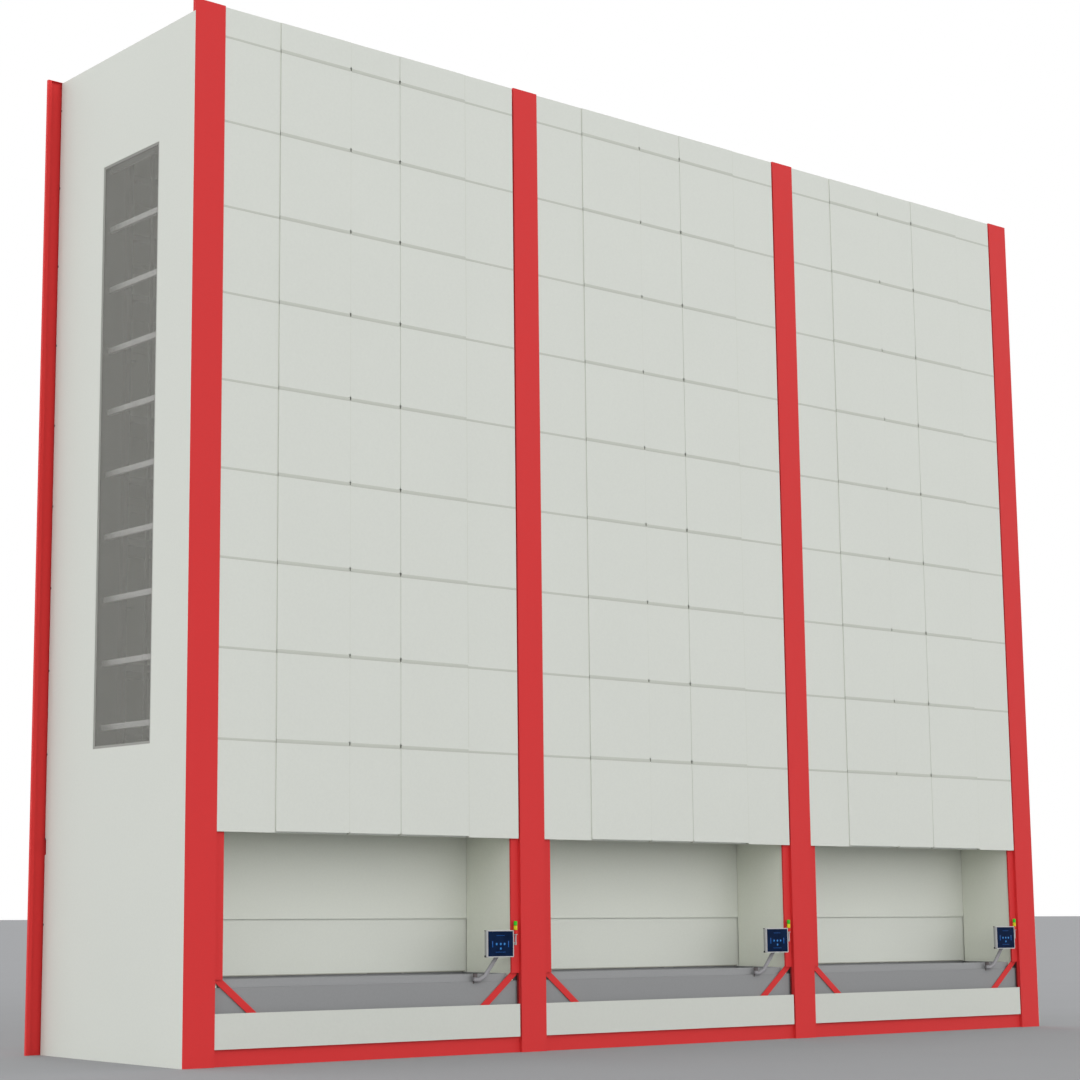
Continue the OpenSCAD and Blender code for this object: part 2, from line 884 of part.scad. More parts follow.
// The side walls and the ceiling of the cavity behind the access opening
module cavity_liners() {
    foot = table_z + liner_foot;
    ceiling_half = liner_x - part_gap;
    color(WHITE)
        each_bay() {
            both_sides()
                difference() {
                    block([liner_x, rack_edge], [rail_back, cavity_d], [foot, ceiling_z]);
                    block([liner_x + sheet, rack_edge + eps], [rail_back + sheet, cavity_d - sheet],
                          [foot + sheet, ceiling_z - sheet]);
                }
            difference() {
                block([-ceiling_half, ceiling_half], [rail_back, cavity_d],
                      [ceiling_z, ceiling_z + liner_d]);
                block([-ceiling_half + sheet, ceiling_half - sheet], [rail_back + sheet, cavity_d - sheet],
                      [ceiling_z + sheet, ceiling_z + liner_d + eps]);
            }
        }
}

// The table that the delivered tray runs on, with its front lip, and its apron, which goes on in
// front of the rack columns
module access_tables() {
    color(GREY)
        each_bay() {
            block([-bay_free[1], bay_free[1]], [apron_front, apron_front + apron_t], [apron_z, table_z]);
            both_sides()
                block([rack_edge - runner_w, rack_edge], [rail_back, cavity_d],
                      [table_z - runner_h, table_z]);
            block([-rack_edge, rack_edge], [apron_front + apron_t - eps, rail_back + table_lip_d],
                  [table_z - table_lip_t, table_z]);
            block([-rack_edge, rack_edge], [cavity_d - table_beam_d, cavity_d],
                  [table_z - table_beam_h, table_z - runner_h / 2]);
        }
}

module control_cabinets() {
    x = [-rack_edge + cabinet_inset, -rack_edge + cabinet_inset + cabinet_w];
    front = rail_back + apron_t + part_gap;
    z = [base_h, base_h + cabinet_h];
    color(GREY)
        each_bay()
            difference() {
                block(x, [front, front + cabinet_d], z);
                block(x + [sheet, -sheet], [front + cabinet_door_t, front + cabinet_d - sheet],
                      z + [sheet, -sheet]);
            }
}

// The bracket on the table's apron, with the knuckle that the console arm turns in
module console_brackets() {
    top = knuckle_z + knuckle_h;
    shoulder = top - bracket_shoulder;
    foot = table_z - bracket_drop;
    stand = arm_depth + knuckle_dia / 2 - eps;
    x = [arm_pivot_x - bracket_t / 2, arm_pivot_x + bracket_t / 2];
    color(DARK)
        each_bay()
            difference() {
                union() {
                    translate([arm_pivot_x, at_depth(arm_depth), knuckle_z])
                        cylinder(d = knuckle_dia, h = knuckle_h);
                    block(x, [stand, apron_front], [foot, shoulder]);
                    block(x, [arm_depth, stand + eps], [knuckle_z, shoulder]);
                }
                translate([arm_pivot_x, at_depth(arm_depth), knuckle_z - eps])
                    cylinder(d = pivot_pin_dia + 2 * pin_play, h = knuckle_h + 2 * eps);
            }
}

module stack_light_poles() {
    foot = lens_z - light_foot_h;
    color(STEEL)
        each_bay() {
            translate([light_x, at_depth(0), foot])
                cylinder(d = lens_dia, h = light_foot_h);
            translate([light_x, at_depth(0), foot - light_pole_h])
                cylinder(d = light_pole_dia, h = light_pole_h + eps);
            block([light_x - light_bracket_w / 2, light_x + light_bracket_w / 2], [0, jamb_recess],
                  [foot - light_pole_h, foot - light_pole_h + light_bracket_w]);
        }
}

module lens(z, h) {
    each_bay()
        translate([light_x, at_depth(0), z])
            cylinder(d = lens_dia, h = h);
}

module red_lenses() {
    color("red")
        lens(lens_z, red_h);
}

module amber_lenses() {
    color("gold")
        lens(lens_z + red_h, amber_h);
}

// The top lens is domed
module green_lenses() {
    z = lens_z + red_h + amber_h;
    edge = 8;
    color("limegreen")
        each_bay()
            translate([light_x, at_depth(0), z])
                rotate_extrude()
                    polygon(concat(
                        [[0, 0], [lens_dia / 2, 0]],
                        [for (a = [0 : 15 : 90])
                            [lens_dia / 2 - edge + edge * cos(a), green_h - edge + edge * sin(a)]],
                        [[0, green_h]]
                    ));
}

// The welded carriage: end plates, tray ledges, cross beams, and the rods of the extractor
module lift_carriage(b) {
    depth = [shaft_mid - carriage_half, shaft_mid + carriage_half];
    beams = [depth[0] + beam_inset, depth[1] - beam_inset - cross_beam_d];
    beam_z = [beam_top - cross_beam_h, beam_top];
    windows = [table_z + tray_h, plate_z + carriage_h - plate_window_edge];
    far = plate_x + 2 * end_plate_t;
    color(STEEL)
        translate([bay_x(b), 0, 0])
            difference() {
                union() {
                    both_sides() {
                        block([plate_x, plate_x + end_plate_t], depth, [plate_z, plate_z + carriage_h]);
                        block([tray_half - ledge_reach, plate_x + eps], depth,
                              [table_z - carriage_ledge_t, table_z]);
                        for (d = beams) {
                            mid = d + cross_beam_d / 2;
                            block([rod_x - rod_block_w / 2, rod_x + rod_block_w / 2],
                                  [mid - rod_block_d / 2, mid + rod_block_d / 2],
                                  [beam_top - eps, rod_z + rod_dia / 2]);
                        }
                        translate([rod_x, at_depth(beams[0] + cross_beam_d / 2), rod_z])
                            rotate([-90, 0, 0])
                                cylinder(d = rod_dia, h = beams[1] - beams[0]);
                        translate([plate_x + eps - bearing_l, at_depth(shaft_mid), drive_z])
                            rotate([0, 90, 0])
                                cylinder(d = shaft_dia + 2 * bearing_wall, h = bearing_l);
                    }
                    for (d = beams)
                        block([-plate_x - eps, plate_x + eps], [d, d + cross_beam_d], beam_z);
                }
                for (d = beams)
                    block([-plate_x, plate_x], [d + frame_wall, d + cross_beam_d - frame_wall],
                          beam_z + [frame_wall, -frame_wall]);
                for (k = [-1 : 1]) {
                    mid = shaft_mid + k * plate_window_pitch;
                    block([-far, far], [mid - plate_window_w / 2, mid + plate_window_w / 2], windows);
                }
                translate([-far, at_depth(shaft_mid), drive_z])
                    rotate([0, 90, 0])
                        cylinder(d = shaft_dia + 2 * shaft_play, h = 2 * far);
            }
}

// Eight grooved rollers on axles that stand out of the end plates
module guide_rollers(b) {
    groove = 4;
    r = roller_dia / 2;
    color(DARK)
        translate([bay_x(b), 0, 0])
            both_sides()
                for (d = [roller_front, roller_rear],
                     z = [plate_z + roller_margin, plate_z + carriage_h - roller_margin])
                    translate([plate_x + end_plate_t, at_depth(d), z])
                        rotate([0, 90, 0])
                            rotate_extrude()
                                polygon([
                                    [0, 0],
                                    [axle_dia / 2, 0],
                                    [axle_dia / 2, axle_out],
                                    [r, axle_out],
                                    [r, axle_out + roller_w / 4],
                                    [r - groove, axle_out + roller_w / 2],
                                    [r, axle_out + roller_w * 3 / 4],
                                    [r, axle_out + roller_w],
                                    [0, axle_out + roller_w]
                                ]);
}

// A worm gearbox on the drive shaft, with its motor reaching back to the rear cross beam
module gear_motor(b) {
    rear_beam = shaft_mid + carriage_half - beam_inset - cross_beam_d;
    color(GREY)
        translate([bay_x(b), 0, 0])
            difference() {
                union() {
                    block([motor_x - gearbox_w / 2, motor_x + gearbox_w / 2],
                          [shaft_mid - gearbox_d / 2, shaft_mid + gearbox_d / 2],
                          [drive_z - gearbox_h / 2, drive_z + gearbox_h / 2]);
                    translate([motor_x, at_depth(shaft_mid), drive_z])
                        rotate([-90, 0, 0])
                            cylinder(d = motor_dia - 2 * fin_h, h = rear_beam - shaft_mid);
                    for (k = [1 : motor_fins])
                        translate([motor_x, at_depth(shaft_mid + gearbox_d / 2 + k * fin_pitch), drive_z])
                            rotate([-90, 0, 0])
                                cylinder(d = motor_dia, h = fin_t);
                }
                translate([motor_x - gearbox_w, at_depth(shaft_mid), drive_z])
                    rotate([0, 90, 0])
                        cylinder(d = shaft_dia + 2 * shaft_play, h = 2 * gearbox_w);
            }
}

// The drive shaft with a toothed sprocket at each end, which climbs the chain
module drive_shaft(b) {
    end = sprocket_x + sprocket_w;
    seat_r = sprocket_dia * sin(180 / sprocket_teeth) / 3;
    color(STEEL)
        translate([bay_x(b), at_depth(shaft_mid), drive_z])
            difference() {
                union() {
                    rotate([0, 90, 0])
                        translate([0, 0, -end])
                            cylinder(d = shaft_dia, h = 2 * end);
                    both_sides()
                        translate([sprocket_x, 0, 0])
                            rotate([0, 90, 0])
                                cylinder(d = sprocket_dia, h = sprocket_w);
                }
                both_sides()
                    for (k = [0 : sprocket_teeth - 1])
                        rotate([(k + 0.5) * 360 / sprocket_teeth, 0, 0])
                            translate([sprocket_x - eps, sprocket_dia / 2, 0])
                                rotate([0, 90, 0])
                                    cylinder(r = seat_r, h = sprocket_w + 2 * eps);
            }
}

// The bar that pulls a tray onto the carriage, on sliders that run along two guide rods
module tray_extractor(b) {
    reach = rod_x + extractor_overhang;
    color(DARK)
        translate([bay_x(b), 0, 0])
            difference() {
                union() {
                    block([-reach, reach], [shaft_mid - extractor_d / 2, shaft_mid + extractor_d / 2],
                          [rod_z - extractor_t / 2, rod_z + extractor_t / 2]);
                    both_sides()
                        block([rod_x - slider_w / 2, rod_x + slider_w / 2],
                              [shaft_mid - extractor_d, shaft_mid + extractor_d],
                              [rod_z - slider_h / 2, rod_z + slider_h / 2]);
                }
                both_sides()
                    translate([rod_x, at_depth(shaft_mid - 2 * extractor_d), rod_z])
                        rotate([-90, 0, 0])
                            cylinder(d = rod_dia + 2 * rod_play, h = 4 * extractor_d);
            }
}

// The tray that stands in the access opening: ribbed floor, and a lip for the extractor
module delivered_tray(b) {
    z = table_z + tray_play;
    d = [tray_front, tray_front + tray_d];
    rib_h = 8;
    rib_w = 40;
    lip = 10;
    lip_half = 0.6 * tray_half;
    step = 2 * tray_half / (tray_ribs + 1);
    color(GREY)
        translate([bay_x(b), 0, 0]) {
            tray(d, z);
            for (k = [1 : tray_ribs]) {
                mid = k * step - tray_half;
                block([mid - rib_w / 2, mid + rib_w / 2], d + [eps, -eps],
                      [z + eps, z + tray_sheet + rib_h]);
            }
            block([-lip_half, lip_half], [d[1] - eps, d[1] + lip],
                  [z + tray_h / 2, z + tray_h / 2 + tray_sheet]);
        }
}

module access_door(b) {
    color(WHITE)
        translate([bay_x(b), 0, 0])
            front_pan([-door_half, door_half], [door_front, door_front + door_t],
                      [door_z, door_seam_z + door_overlap]);
}

// A length of the arm's tube between two points of its path, with a ball elbow at its end
module arm_run(from, to) {
    run = to - from;
    translate([from[0], 0, from[1]])
        rotate([0, atan2(run[0], run[1]), 0])
            cylinder(d = arm_dia, h = norm(run));
    translate([to[0], 0, to[1]])
        sphere(d = arm_dia + 2 * elbow_rise);
}

// The bent tube that carries the monitor, with its pivot pin and its tilting head
module console_arm(b) {
    color(STEEL)
        translate([bay_x(b), at_depth(arm_depth), 0]) {
            for (k = [0 : len(arm_path) - 2])
                arm_run(arm_path[k], arm_path[k + 1]);
            translate([arm_pivot_x, 0, arm_path[0][1] - eps])
                cylinder(d = pivot_pin_dia, h = knuckle_h + ear_gap + eps);
            translate([arm_head_x - arm_head_w / 2, 0, tilt_z])
                rotate([0, 90, 0])
                    cylinder(d = arm_head_dia, h = arm_head_w);
            translate([arm_head_x - arm_head_w / 2 - ear_t - ear_gap, 0, tilt_z])
                rotate([0, 90, 0])
                    cylinder(d = tilt_pin_dia, h = arm_head_w + 2 * (ear_t + ear_gap));
        }
}

// A slab with round corners, its face towards the front
module round_slab(x, d, z, r) {
    block([x[0] + r, x[1] - r], d, z);
    block(x, d, [z[0] + r, z[1] - r]);
    for (cx = [x[0] + r, x[1] - r], cz = [z[0] + r, z[1] - r])
        translate([cx, at_depth(d[1]), cz])
            rotate([90, 0, 0])
                cylinder(r = r, h = d[1] - d[0]);
}

// The monitor's case: a bezel round the screen, a stepped back, and two ears on the tilt pin
module monitor_case(b) {
    x = [monitor_x - monitor_w / 2, monitor_x + monitor_w / 2];
    z = [monitor_z, monitor_z + monitor_h];
    front_slab = 24;
    back_inset = 3;
    ear_r = 14;
    color(WHITE)
        translate([bay_x(b), 0, 0])
            difference() {
                union() {
                    round_slab(x, [-console_reach, -console_reach + front_slab], z, monitor_r);
                    round_slab(x + [back_inset, -back_inset],
                               [-console_reach + front_slab - eps, monitor_back],
                               z + [back_inset, -back_inset], monitor_r);
                    for (ex = [arm_head_x - arm_head_w / 2 - ear_gap - ear_t,
                               arm_head_x + arm_head_w / 2 + ear_gap]) {
                        translate([ex, at_depth(arm_depth), tilt_z])
                            rotate([0, 90, 0])
                                cylinder(r = ear_r, h = ear_t);
                        block([ex, ex + ear_t], [monitor_back - eps, arm_depth],
                              [tilt_z - ear_r, tilt_z + ear_r]);
                    }
                }
                block(x + [bezel_w, -bezel_w],
                      [-console_reach - eps, -console_reach + screen_recess + screen_t],
                      z + [bezel_w, -bezel_w]);
                translate([arm_head_x - arm_head_w, at_depth(arm_depth), tilt_z])
                    rotate([0, 90, 0])
                        cylinder(d = tilt_pin_dia + 2 * pin_play, h = 2 * arm_head_w);
            }
}

module monitor_screen(b) {
    edge = 0.3;
    x = [monitor_x - monitor_w / 2 + bezel_w + edge, monitor_x + monitor_w / 2 - bezel_w - edge];
    z = [monitor_z + bezel_w + edge, monitor_z + monitor_h - bezel_w - edge];
    color([0.07, 0.16, 0.30])
        translate([bay_x(b), 0, 0])
            block(x, [-console_reach + screen_recess, -console_reach + screen_recess + screen_t], z);
}

front_posts();
rear_posts();
sill_beams();
access_jambs();
access_braces();
outer_front_panels();
middle_front_panels();
low_front_panels();
left_side_wall();
right_side_wall();
side_window();
rear_panels();
roof_panels();
base_frame();
rack_columns();
tray_ledges();
tie_rails();
cladding_rails();
stored_trays();
lift_guides();
lift_chains();
shutter_frames();
cavity_liners();
access_tables();
control_cabinets();
console_brackets();
stack_light_poles();
green_lenses();
amber_lenses();
red_lenses();
lift_carriage(1);  // lift_carriage_1
guide_rollers(1);  // guide_rollers_1
gear_motor(1);  // gear_motor_1
drive_shaft(1);  // drive_shaft_1
tray_extractor(1);  // tray_extractor_1
delivered_tray(1);  // delivered_tray_1
access_door(1);  // access_door_1
console_arm(1);  // console_arm_1
monitor_case(1);  // monitor_case_1
monitor_screen(1);  // monitor_screen_1
lift_carriage(2);  // lift_carriage_2
guide_rollers(2);  // guide_rollers_2
gear_motor(2);  // gear_motor_2
drive_shaft(2);  // drive_shaft_2
tray_extractor(2);  // tray_extractor_2
delivered_tray(2);  // delivered_tray_2
access_door(2);  // access_door_2
console_arm(2);  // console_arm_2
monitor_case(2);  // monitor_case_2
monitor_screen(2);  // monitor_screen_2
lift_carriage(3);  // lift_carriage_3
guide_rollers(3);  // guide_rollers_3
gear_motor(3);  // gear_motor_3
drive_shaft(3);  // drive_shaft_3
tray_extractor(3);  // tray_extractor_3
delivered_tray(3);  // delivered_tray_3
access_door(3);  // access_door_3
console_arm(3);  // console_arm_3
monitor_case(3);  // monitor_case_3
monitor_screen(3);  // monitor_screen_3
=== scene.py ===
"""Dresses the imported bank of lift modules: its finishes, small fittings, studio and camera."""

import json
import logging
import math
from dataclasses import dataclass, field
from enum import Enum
from functools import cache

import bmesh
import bpy
from mathutils import Matrix, Vector


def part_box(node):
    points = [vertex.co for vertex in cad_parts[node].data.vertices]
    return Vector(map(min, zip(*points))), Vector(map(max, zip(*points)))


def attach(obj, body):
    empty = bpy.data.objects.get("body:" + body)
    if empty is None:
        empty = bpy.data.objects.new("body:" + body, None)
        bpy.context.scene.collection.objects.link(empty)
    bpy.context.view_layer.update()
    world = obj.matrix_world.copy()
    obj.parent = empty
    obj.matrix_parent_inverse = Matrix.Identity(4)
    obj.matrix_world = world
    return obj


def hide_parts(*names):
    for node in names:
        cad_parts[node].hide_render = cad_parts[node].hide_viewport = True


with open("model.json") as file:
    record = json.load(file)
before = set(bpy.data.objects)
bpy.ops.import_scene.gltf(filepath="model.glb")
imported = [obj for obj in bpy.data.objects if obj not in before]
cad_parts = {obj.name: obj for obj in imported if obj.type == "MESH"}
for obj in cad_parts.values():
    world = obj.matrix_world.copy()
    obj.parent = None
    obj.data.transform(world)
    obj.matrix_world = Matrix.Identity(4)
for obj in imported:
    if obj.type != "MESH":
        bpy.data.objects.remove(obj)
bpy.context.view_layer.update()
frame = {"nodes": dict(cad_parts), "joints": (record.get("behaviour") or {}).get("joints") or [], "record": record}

log = logging.getLogger("lift_module")

Tint = tuple[float, float, float]
Point = tuple[float, float, float]

BAYS = (1, 2, 3)
HOUSING = "housing"
MM = 0.001
SMOOTH_BELOW = math.radians(35)
DARK_STOP = 0.3
LIGHT_STOP = 0.7


class Slot(Enum):
    """The record's material slots that the new pieces and the nodes take their finish from."""

    POST_RED = "post_red"
    PANEL_WHITE = "panel_white"
    LINER_WHITE = "liner_white"
    RACK_STEEL = "rack_steel"
    BASE_DARK = "base_dark"
    TRAY_GREY = "tray_grey"
    TABLE_GREY = "table_grey"
    WINDOW_GLASS = "window_glass"
    CARRIAGE_STEEL = "carriage_steel"
    ROLLER_DARK = "roller_dark"
    MOTOR_GREY = "motor_grey"
    DRIVE_STEEL = "drive_steel"
    CONSOLE_GREY = "console_grey"
    ARM_GREY = "arm_grey"
    BRACKET_DARK = "bracket_dark"
    SCREEN_BLUE = "screen_blue"
    LENS_GREEN = "lens_green"
    LENS_AMBER = "lens_amber"
    LENS_RED = "lens_red"


class Axis(Enum):
    """The direction that a turned or pressed fitting points in."""

    UP = (0.0, 0.0, 1.0)
    FORWARD = (0.0, -1.0, 0.0)
    BACK = (0.0, 1.0, 0.0)
    LEFT = (-1.0, 0.0, 0.0)
    RIGHT = (1.0, 0.0, 0.0)

    def turn(self) -> Matrix:
        """Returns the turn that takes the upward direction to this one."""
        return Vector(Axis.UP.value).rotation_difference(Vector(self.value)).to_matrix().to_4x4()


def linear(tint: Tint, gain: float = 1.0) -> tuple[float, float, float, float]:
    """Turns a tint as seen on a screen into the linear colour that a shader takes.

    Args:
        tint: red, green and blue from 0 to 255.
        gain: how much brighter or darker the colour becomes.

    Returns:
        The linear colour with full opacity.
    """
    def channel(value: float) -> float:
        """Returns one channel, made linear."""
        share = value / 255
        low = share / 12.92
        high = ((share + 0.055) / 1.055) ** 2.4
        return gain * (low if share <= 0.04045 else high)

    return (channel(tint[0]), channel(tint[1]), channel(tint[2]), 1.0)


class NodeSheet:
    """A material's node tree, with short ways to add the nodes that the finishes share."""

    def __init__(self, name: str) -> None:
        """Starts a material that has one shader on Object coordinates."""
        self.material = bpy.data.materials.new(name)
        self.material.use_nodes = True
        self.tree = self.material.node_tree
        self.tree.nodes.clear()
        self.shader = self.add("ShaderNodeBsdfPrincipled")
        output = self.add("ShaderNodeOutputMaterial")
        self.link(self.shader.outputs["BSDF"], output.inputs["Surface"])
        self.coordinates = self.add("ShaderNodeTexCoord").outputs["Object"]

    def add(self, kind: str) -> bpy.types.Node:
        """Adds a node of that kind and returns it."""
        return self.tree.nodes.new(kind)

    def link(self, source: bpy.types.NodeSocket, target: bpy.types.NodeSocket) -> None:
        """Joins two sockets."""
        self.tree.links.new(source, target)

    def set(self, **values: float) -> None:
        """Sets constant values on the shader's own sockets, named with _ for a space."""
        for name, value in values.items():
            self.shader.inputs[name.replace("_", " ")].default_value = value

    def stretched(self, stretch: Point) -> bpy.types.NodeSocket:
        """Returns Object coordinates that are scaled along each axis."""
        mapping = self.add("ShaderNodeMapping")
        mapping.inputs["Scale"].default_value = stretch
        self.link(self.coordinates, mapping.inputs["Vector"])
        return mapping.outputs["Vector"]

    def noise(
        self, scale: float, detail: float = 3.0, stretch: Point | None = None
    ) -> bpy.types.NodeSocket:
        """Adds a noise pattern.

        Args:
            scale: features per metre.
            detail: how many finer layers it has.
            stretch: scale along each axis, if it isn't even.

        Returns:
            The pattern's value, from 0 to 1.
        """
        node = self.add("ShaderNodeTexNoise")
        node.inputs["Scale"].default_value = scale
        node.inputs["Detail"].default_value = detail
        source = self.stretched(stretch) if stretch else self.coordinates
        self.link(source, node.inputs["Vector"])
        return node.outputs[0]

    def spangle(self, scale: float) -> bpy.types.NodeSocket:
        """Returns the random value of zinc crystals, that many per metre."""
        node = self.add("ShaderNodeTexVoronoi")
        node.inputs["Scale"].default_value = scale
        self.link(self.coordinates, node.inputs["Vector"])
        split = self.add("ShaderNodeSeparateColor")
        self.link(node.outputs["Color"], split.inputs[0])
        return split.outputs[0]

    def blend(
        self, first: bpy.types.NodeSocket, second: bpy.types.NodeSocket, share: float
    ) -> bpy.types.NodeSocket:
        """Mixes two values.

        Args:
            first: the value that is kept.
            second: the value that is mixed in.
            share: how much of the second value there is, from 0 to 1.

        Returns:
            The mixed value.
        """
        node = self.add("ShaderNodeMix")
        node.inputs[0].default_value = share
        self.link(first, node.inputs[2])
        self.link(second, node.inputs[3])
        return node.outputs[0]

    def spread(self, value: bpy.types.NodeSocket, low: float, high: float) -> bpy.types.NodeSocket:
        """Returns a pattern's value, moved from its usual range to the range low to high."""
        node = self.add("ShaderNodeMapRange")
        node.inputs["From Min"].default_value = DARK_STOP
        node.inputs["From Max"].default_value = LIGHT_STOP
        node.inputs["To Min"].default_value = low
        node.inputs["To Max"].default_value = high
        self.link(value, node.inputs["Value"])
        return node.outputs["Result"]

    def ramp(self, value: bpy.types.NodeSocket, stops: list[tuple[float, tuple]]) -> bpy.types.NodeSocket:
        """Turns a value into a colour.

        Args:
            value: the pattern.
            stops: places from 0 to 1 and their linear colours.

        Returns:
            The colour.
        """
        node = self.add("ShaderNodeValToRGB")
        elements = node.color_ramp.elements
        for index, (place, colour) in enumerate(stops):
            element = elements[index] if index < len(elements) else elements.new(place)
            element.position = place
            element.color = colour
        self.link(value, node.inputs[0])
        return node.outputs["Color"]

    def colour(self, source: bpy.types.NodeSocket, target: str = "Base Color") -> None:
        """Links a colour or a value to a socket of the shader."""
        self.link(source, self.shader.inputs[target])

    def bump(self, height: bpy.types.NodeSocket, strength: float, depth: float) -> None:
        """Gives the surface small bumps.

        Args:
            height: the pattern of the bumps.
            strength: how strongly they show, from 0 to 1.
            depth: their height in metres.
        """
        node = self.add("ShaderNodeBump")
        node.inputs["Strength"].default_value = strength
        node.inputs["Distance"].default_value = depth
        self.link(height, node.inputs["Height"])
        self.link(node.outputs["Normal"], self.shader.inputs["Normal"])


@dataclass(frozen=True)
class Paint:
    """A sprayed powder coat: fine orange peel, faint mottling and broad changes of tone."""

    name: str
    tint: Tint
    mottle: float = 0.02
    roughness: float = 0.62
    roughness_play: float = 0.06
    specular: float = 0.2
    specks: float = 38.0
    patches: float = 0.7
    patch_share: float = 0.35
    peel: float = 420.0
    peel_strength: float = 0.12
    peel_depth: float = 0.4 * MM

    def material(self) -> bpy.types.Material:
        """Returns the new material."""
        sheet = NodeSheet(self.name)
        specks = sheet.noise(self.specks, 5.0)
        patches = sheet.noise(self.patches, 2.0)
        tone = sheet.blend(specks, patches, self.patch_share)
        stops = [
            (DARK_STOP, linear(self.tint, 1 - self.mottle)),
            (LIGHT_STOP, linear(self.tint, 1 + self.mottle)),
        ]
        sheet.colour(sheet.ramp(tone, stops))
        low, high = self.roughness - self.roughness_play, self.roughness + self.roughness_play
        sheet.colour(sheet.spread(tone, low, high), "Roughness")
        sheet.bump(sheet.noise(self.peel, 2.0), self.peel_strength, self.peel_depth)
        sheet.set(Specular_IOR_Level=self.specular)
        return sheet.material


@dataclass(frozen=True)
class Galvanised:
    """Zinc coated sheet: a crystal spangle over a dull metal."""

    name: str
    tint: Tint
    metallic: float = 0.35
    crystals: float = 34.0
    clouds: float = 9.0
    cloud_share: float = 0.4
    ripple: float = 160.0
    ripple_depth: float = 0.3 * MM

    def material(self) -> bpy.types.Material:
        """Returns the new material."""
        sheet = NodeSheet(self.name)
        tone = sheet.blend(sheet.spangle(self.crystals), sheet.noise(self.clouds, 4.0), self.cloud_share)
        stops = [(0.15, linear(self.tint, 0.84)), (0.85, linear(self.tint, 1.1))]
        sheet.colour(sheet.ramp(tone, stops))
        sheet.colour(sheet.spread(tone, 0.42, 0.56), "Roughness")
        sheet.bump(sheet.noise(self.ripple, 3.0), 0.08, self.ripple_depth)
        sheet.set(Metallic=self.metallic)
        return sheet.material


@dataclass(frozen=True)
class Machined:
    """Turned or ground steel with fine marks along one axis."""

    name: str
    tint: Tint
    stretch: Point = (4.0, 700.0, 700.0)
    metallic: float = 0.9
    mark_depth: float = 0.1 * MM

    def material(self) -> bpy.types.Material:
        """Returns the new material."""
        sheet = NodeSheet(self.name)
        marks = sheet.noise(1.0, 4.0, self.stretch)
        stops = [(DARK_STOP, linear(self.tint, 0.85)), (LIGHT_STOP, linear(self.tint, 1.1))]
        sheet.colour(sheet.ramp(marks, stops))
        sheet.colour(sheet.spread(marks, 0.24, 0.4), "Roughness")
        sheet.bump(marks, 0.1, self.mark_depth)
        sheet.set(Metallic=self.metallic)
        return sheet.material


@dataclass(frozen=True)
class Moulded:
    """Moulded plastic or rubber with a fine eroded grain."""

    name: str
    tint: Tint
    roughness: float = 0.5
    specular: float = 0.3
    roughness_play: float = 0.08
    erosion: float = 900.0
    erosion_depth: float = 0.2 * MM
    clouds: float = 14.0
    cloud_share: float = 0.6

    def material(self) -> bpy.types.Material:
        """Returns the new material."""
        sheet = NodeSheet(self.name)
        grain = sheet.noise(self.erosion, 2.0)
        tone = sheet.blend(grain, sheet.noise(self.clouds, 3.0), self.cloud_share)
        stops = [(DARK_STOP, linear(self.tint, 0.95)), (LIGHT_STOP, linear(self.tint, 1.05))]
        sheet.colour(sheet.ramp(tone, stops))
        low, high = self.roughness - self.roughness_play, self.roughness + self.roughness_play
        sheet.colour(sheet.spread(tone, low, high), "Roughness")
        sheet.bump(grain, 0.15, self.erosion_depth)
        sheet.set(Specular_IOR_Level=self.specular)
        return sheet.material


@dataclass(frozen=True)
class SmokedPane:
    """A smoked pane with a thin grey film, and dust that is a little denser in places."""

    name: str
    tint: Tint
    film: float = 0.32
    specular: float = 0.15
    dust_patches: float = 6.0

    def material(self) -> bpy.types.Material:
        """Returns the new material."""
        sheet = NodeSheet(self.name)
        dust = sheet.noise(self.dust_patches, 5.0)
        stops = [(DARK_STOP, linear(self.tint, 0.97)), (LIGHT_STOP, linear(self.tint, 1.03))]
        sheet.colour(sheet.ramp(dust, stops))
        sheet.colour(sheet.spread(dust, 0.3, 0.36), "Roughness")
        sheet.set(Alpha=self.film, Specular_IOR_Level=self.specular)
        return sheet.material


@dataclass(frozen=True)
class Display:
    """The lit glass of a screen, darker in broad patches, with a faint raster."""

    name: str
    tint: Tint
    edge: Tint
    glow: float = 0.6
    specular: float = 0.02
    clouds: float = 9.0
    raster: Point = (30.0, 1.0, 700.0)
    raster_share: float = 0.3

    def material(self) -> bpy.types.Material:
        """Returns the new material."""
        sheet = NodeSheet(self.name)
        clouds = sheet.noise(self.clouds, 2.0)
        raster = sheet.noise(1.0, 1.0, self.raster)
        glow = sheet.blend(clouds, raster, self.raster_share)
        lit = [(0.25, linear(self.edge)), (0.75, linear(self.tint))]
        unlit = [(0.25, linear(self.edge, 0.3)), (0.75, linear(self.edge, 0.5))]
        sheet.colour(sheet.ramp(glow, lit), "Emission Color")
        sheet.colour(sheet.ramp(glow, unlit))
        sheet.colour(sheet.spread(glow, 0.3, 0.4), "Roughness")
        sheet.set(Emission_Strength=self.glow, Specular_IOR_Level=self.specular)
        return sheet.material


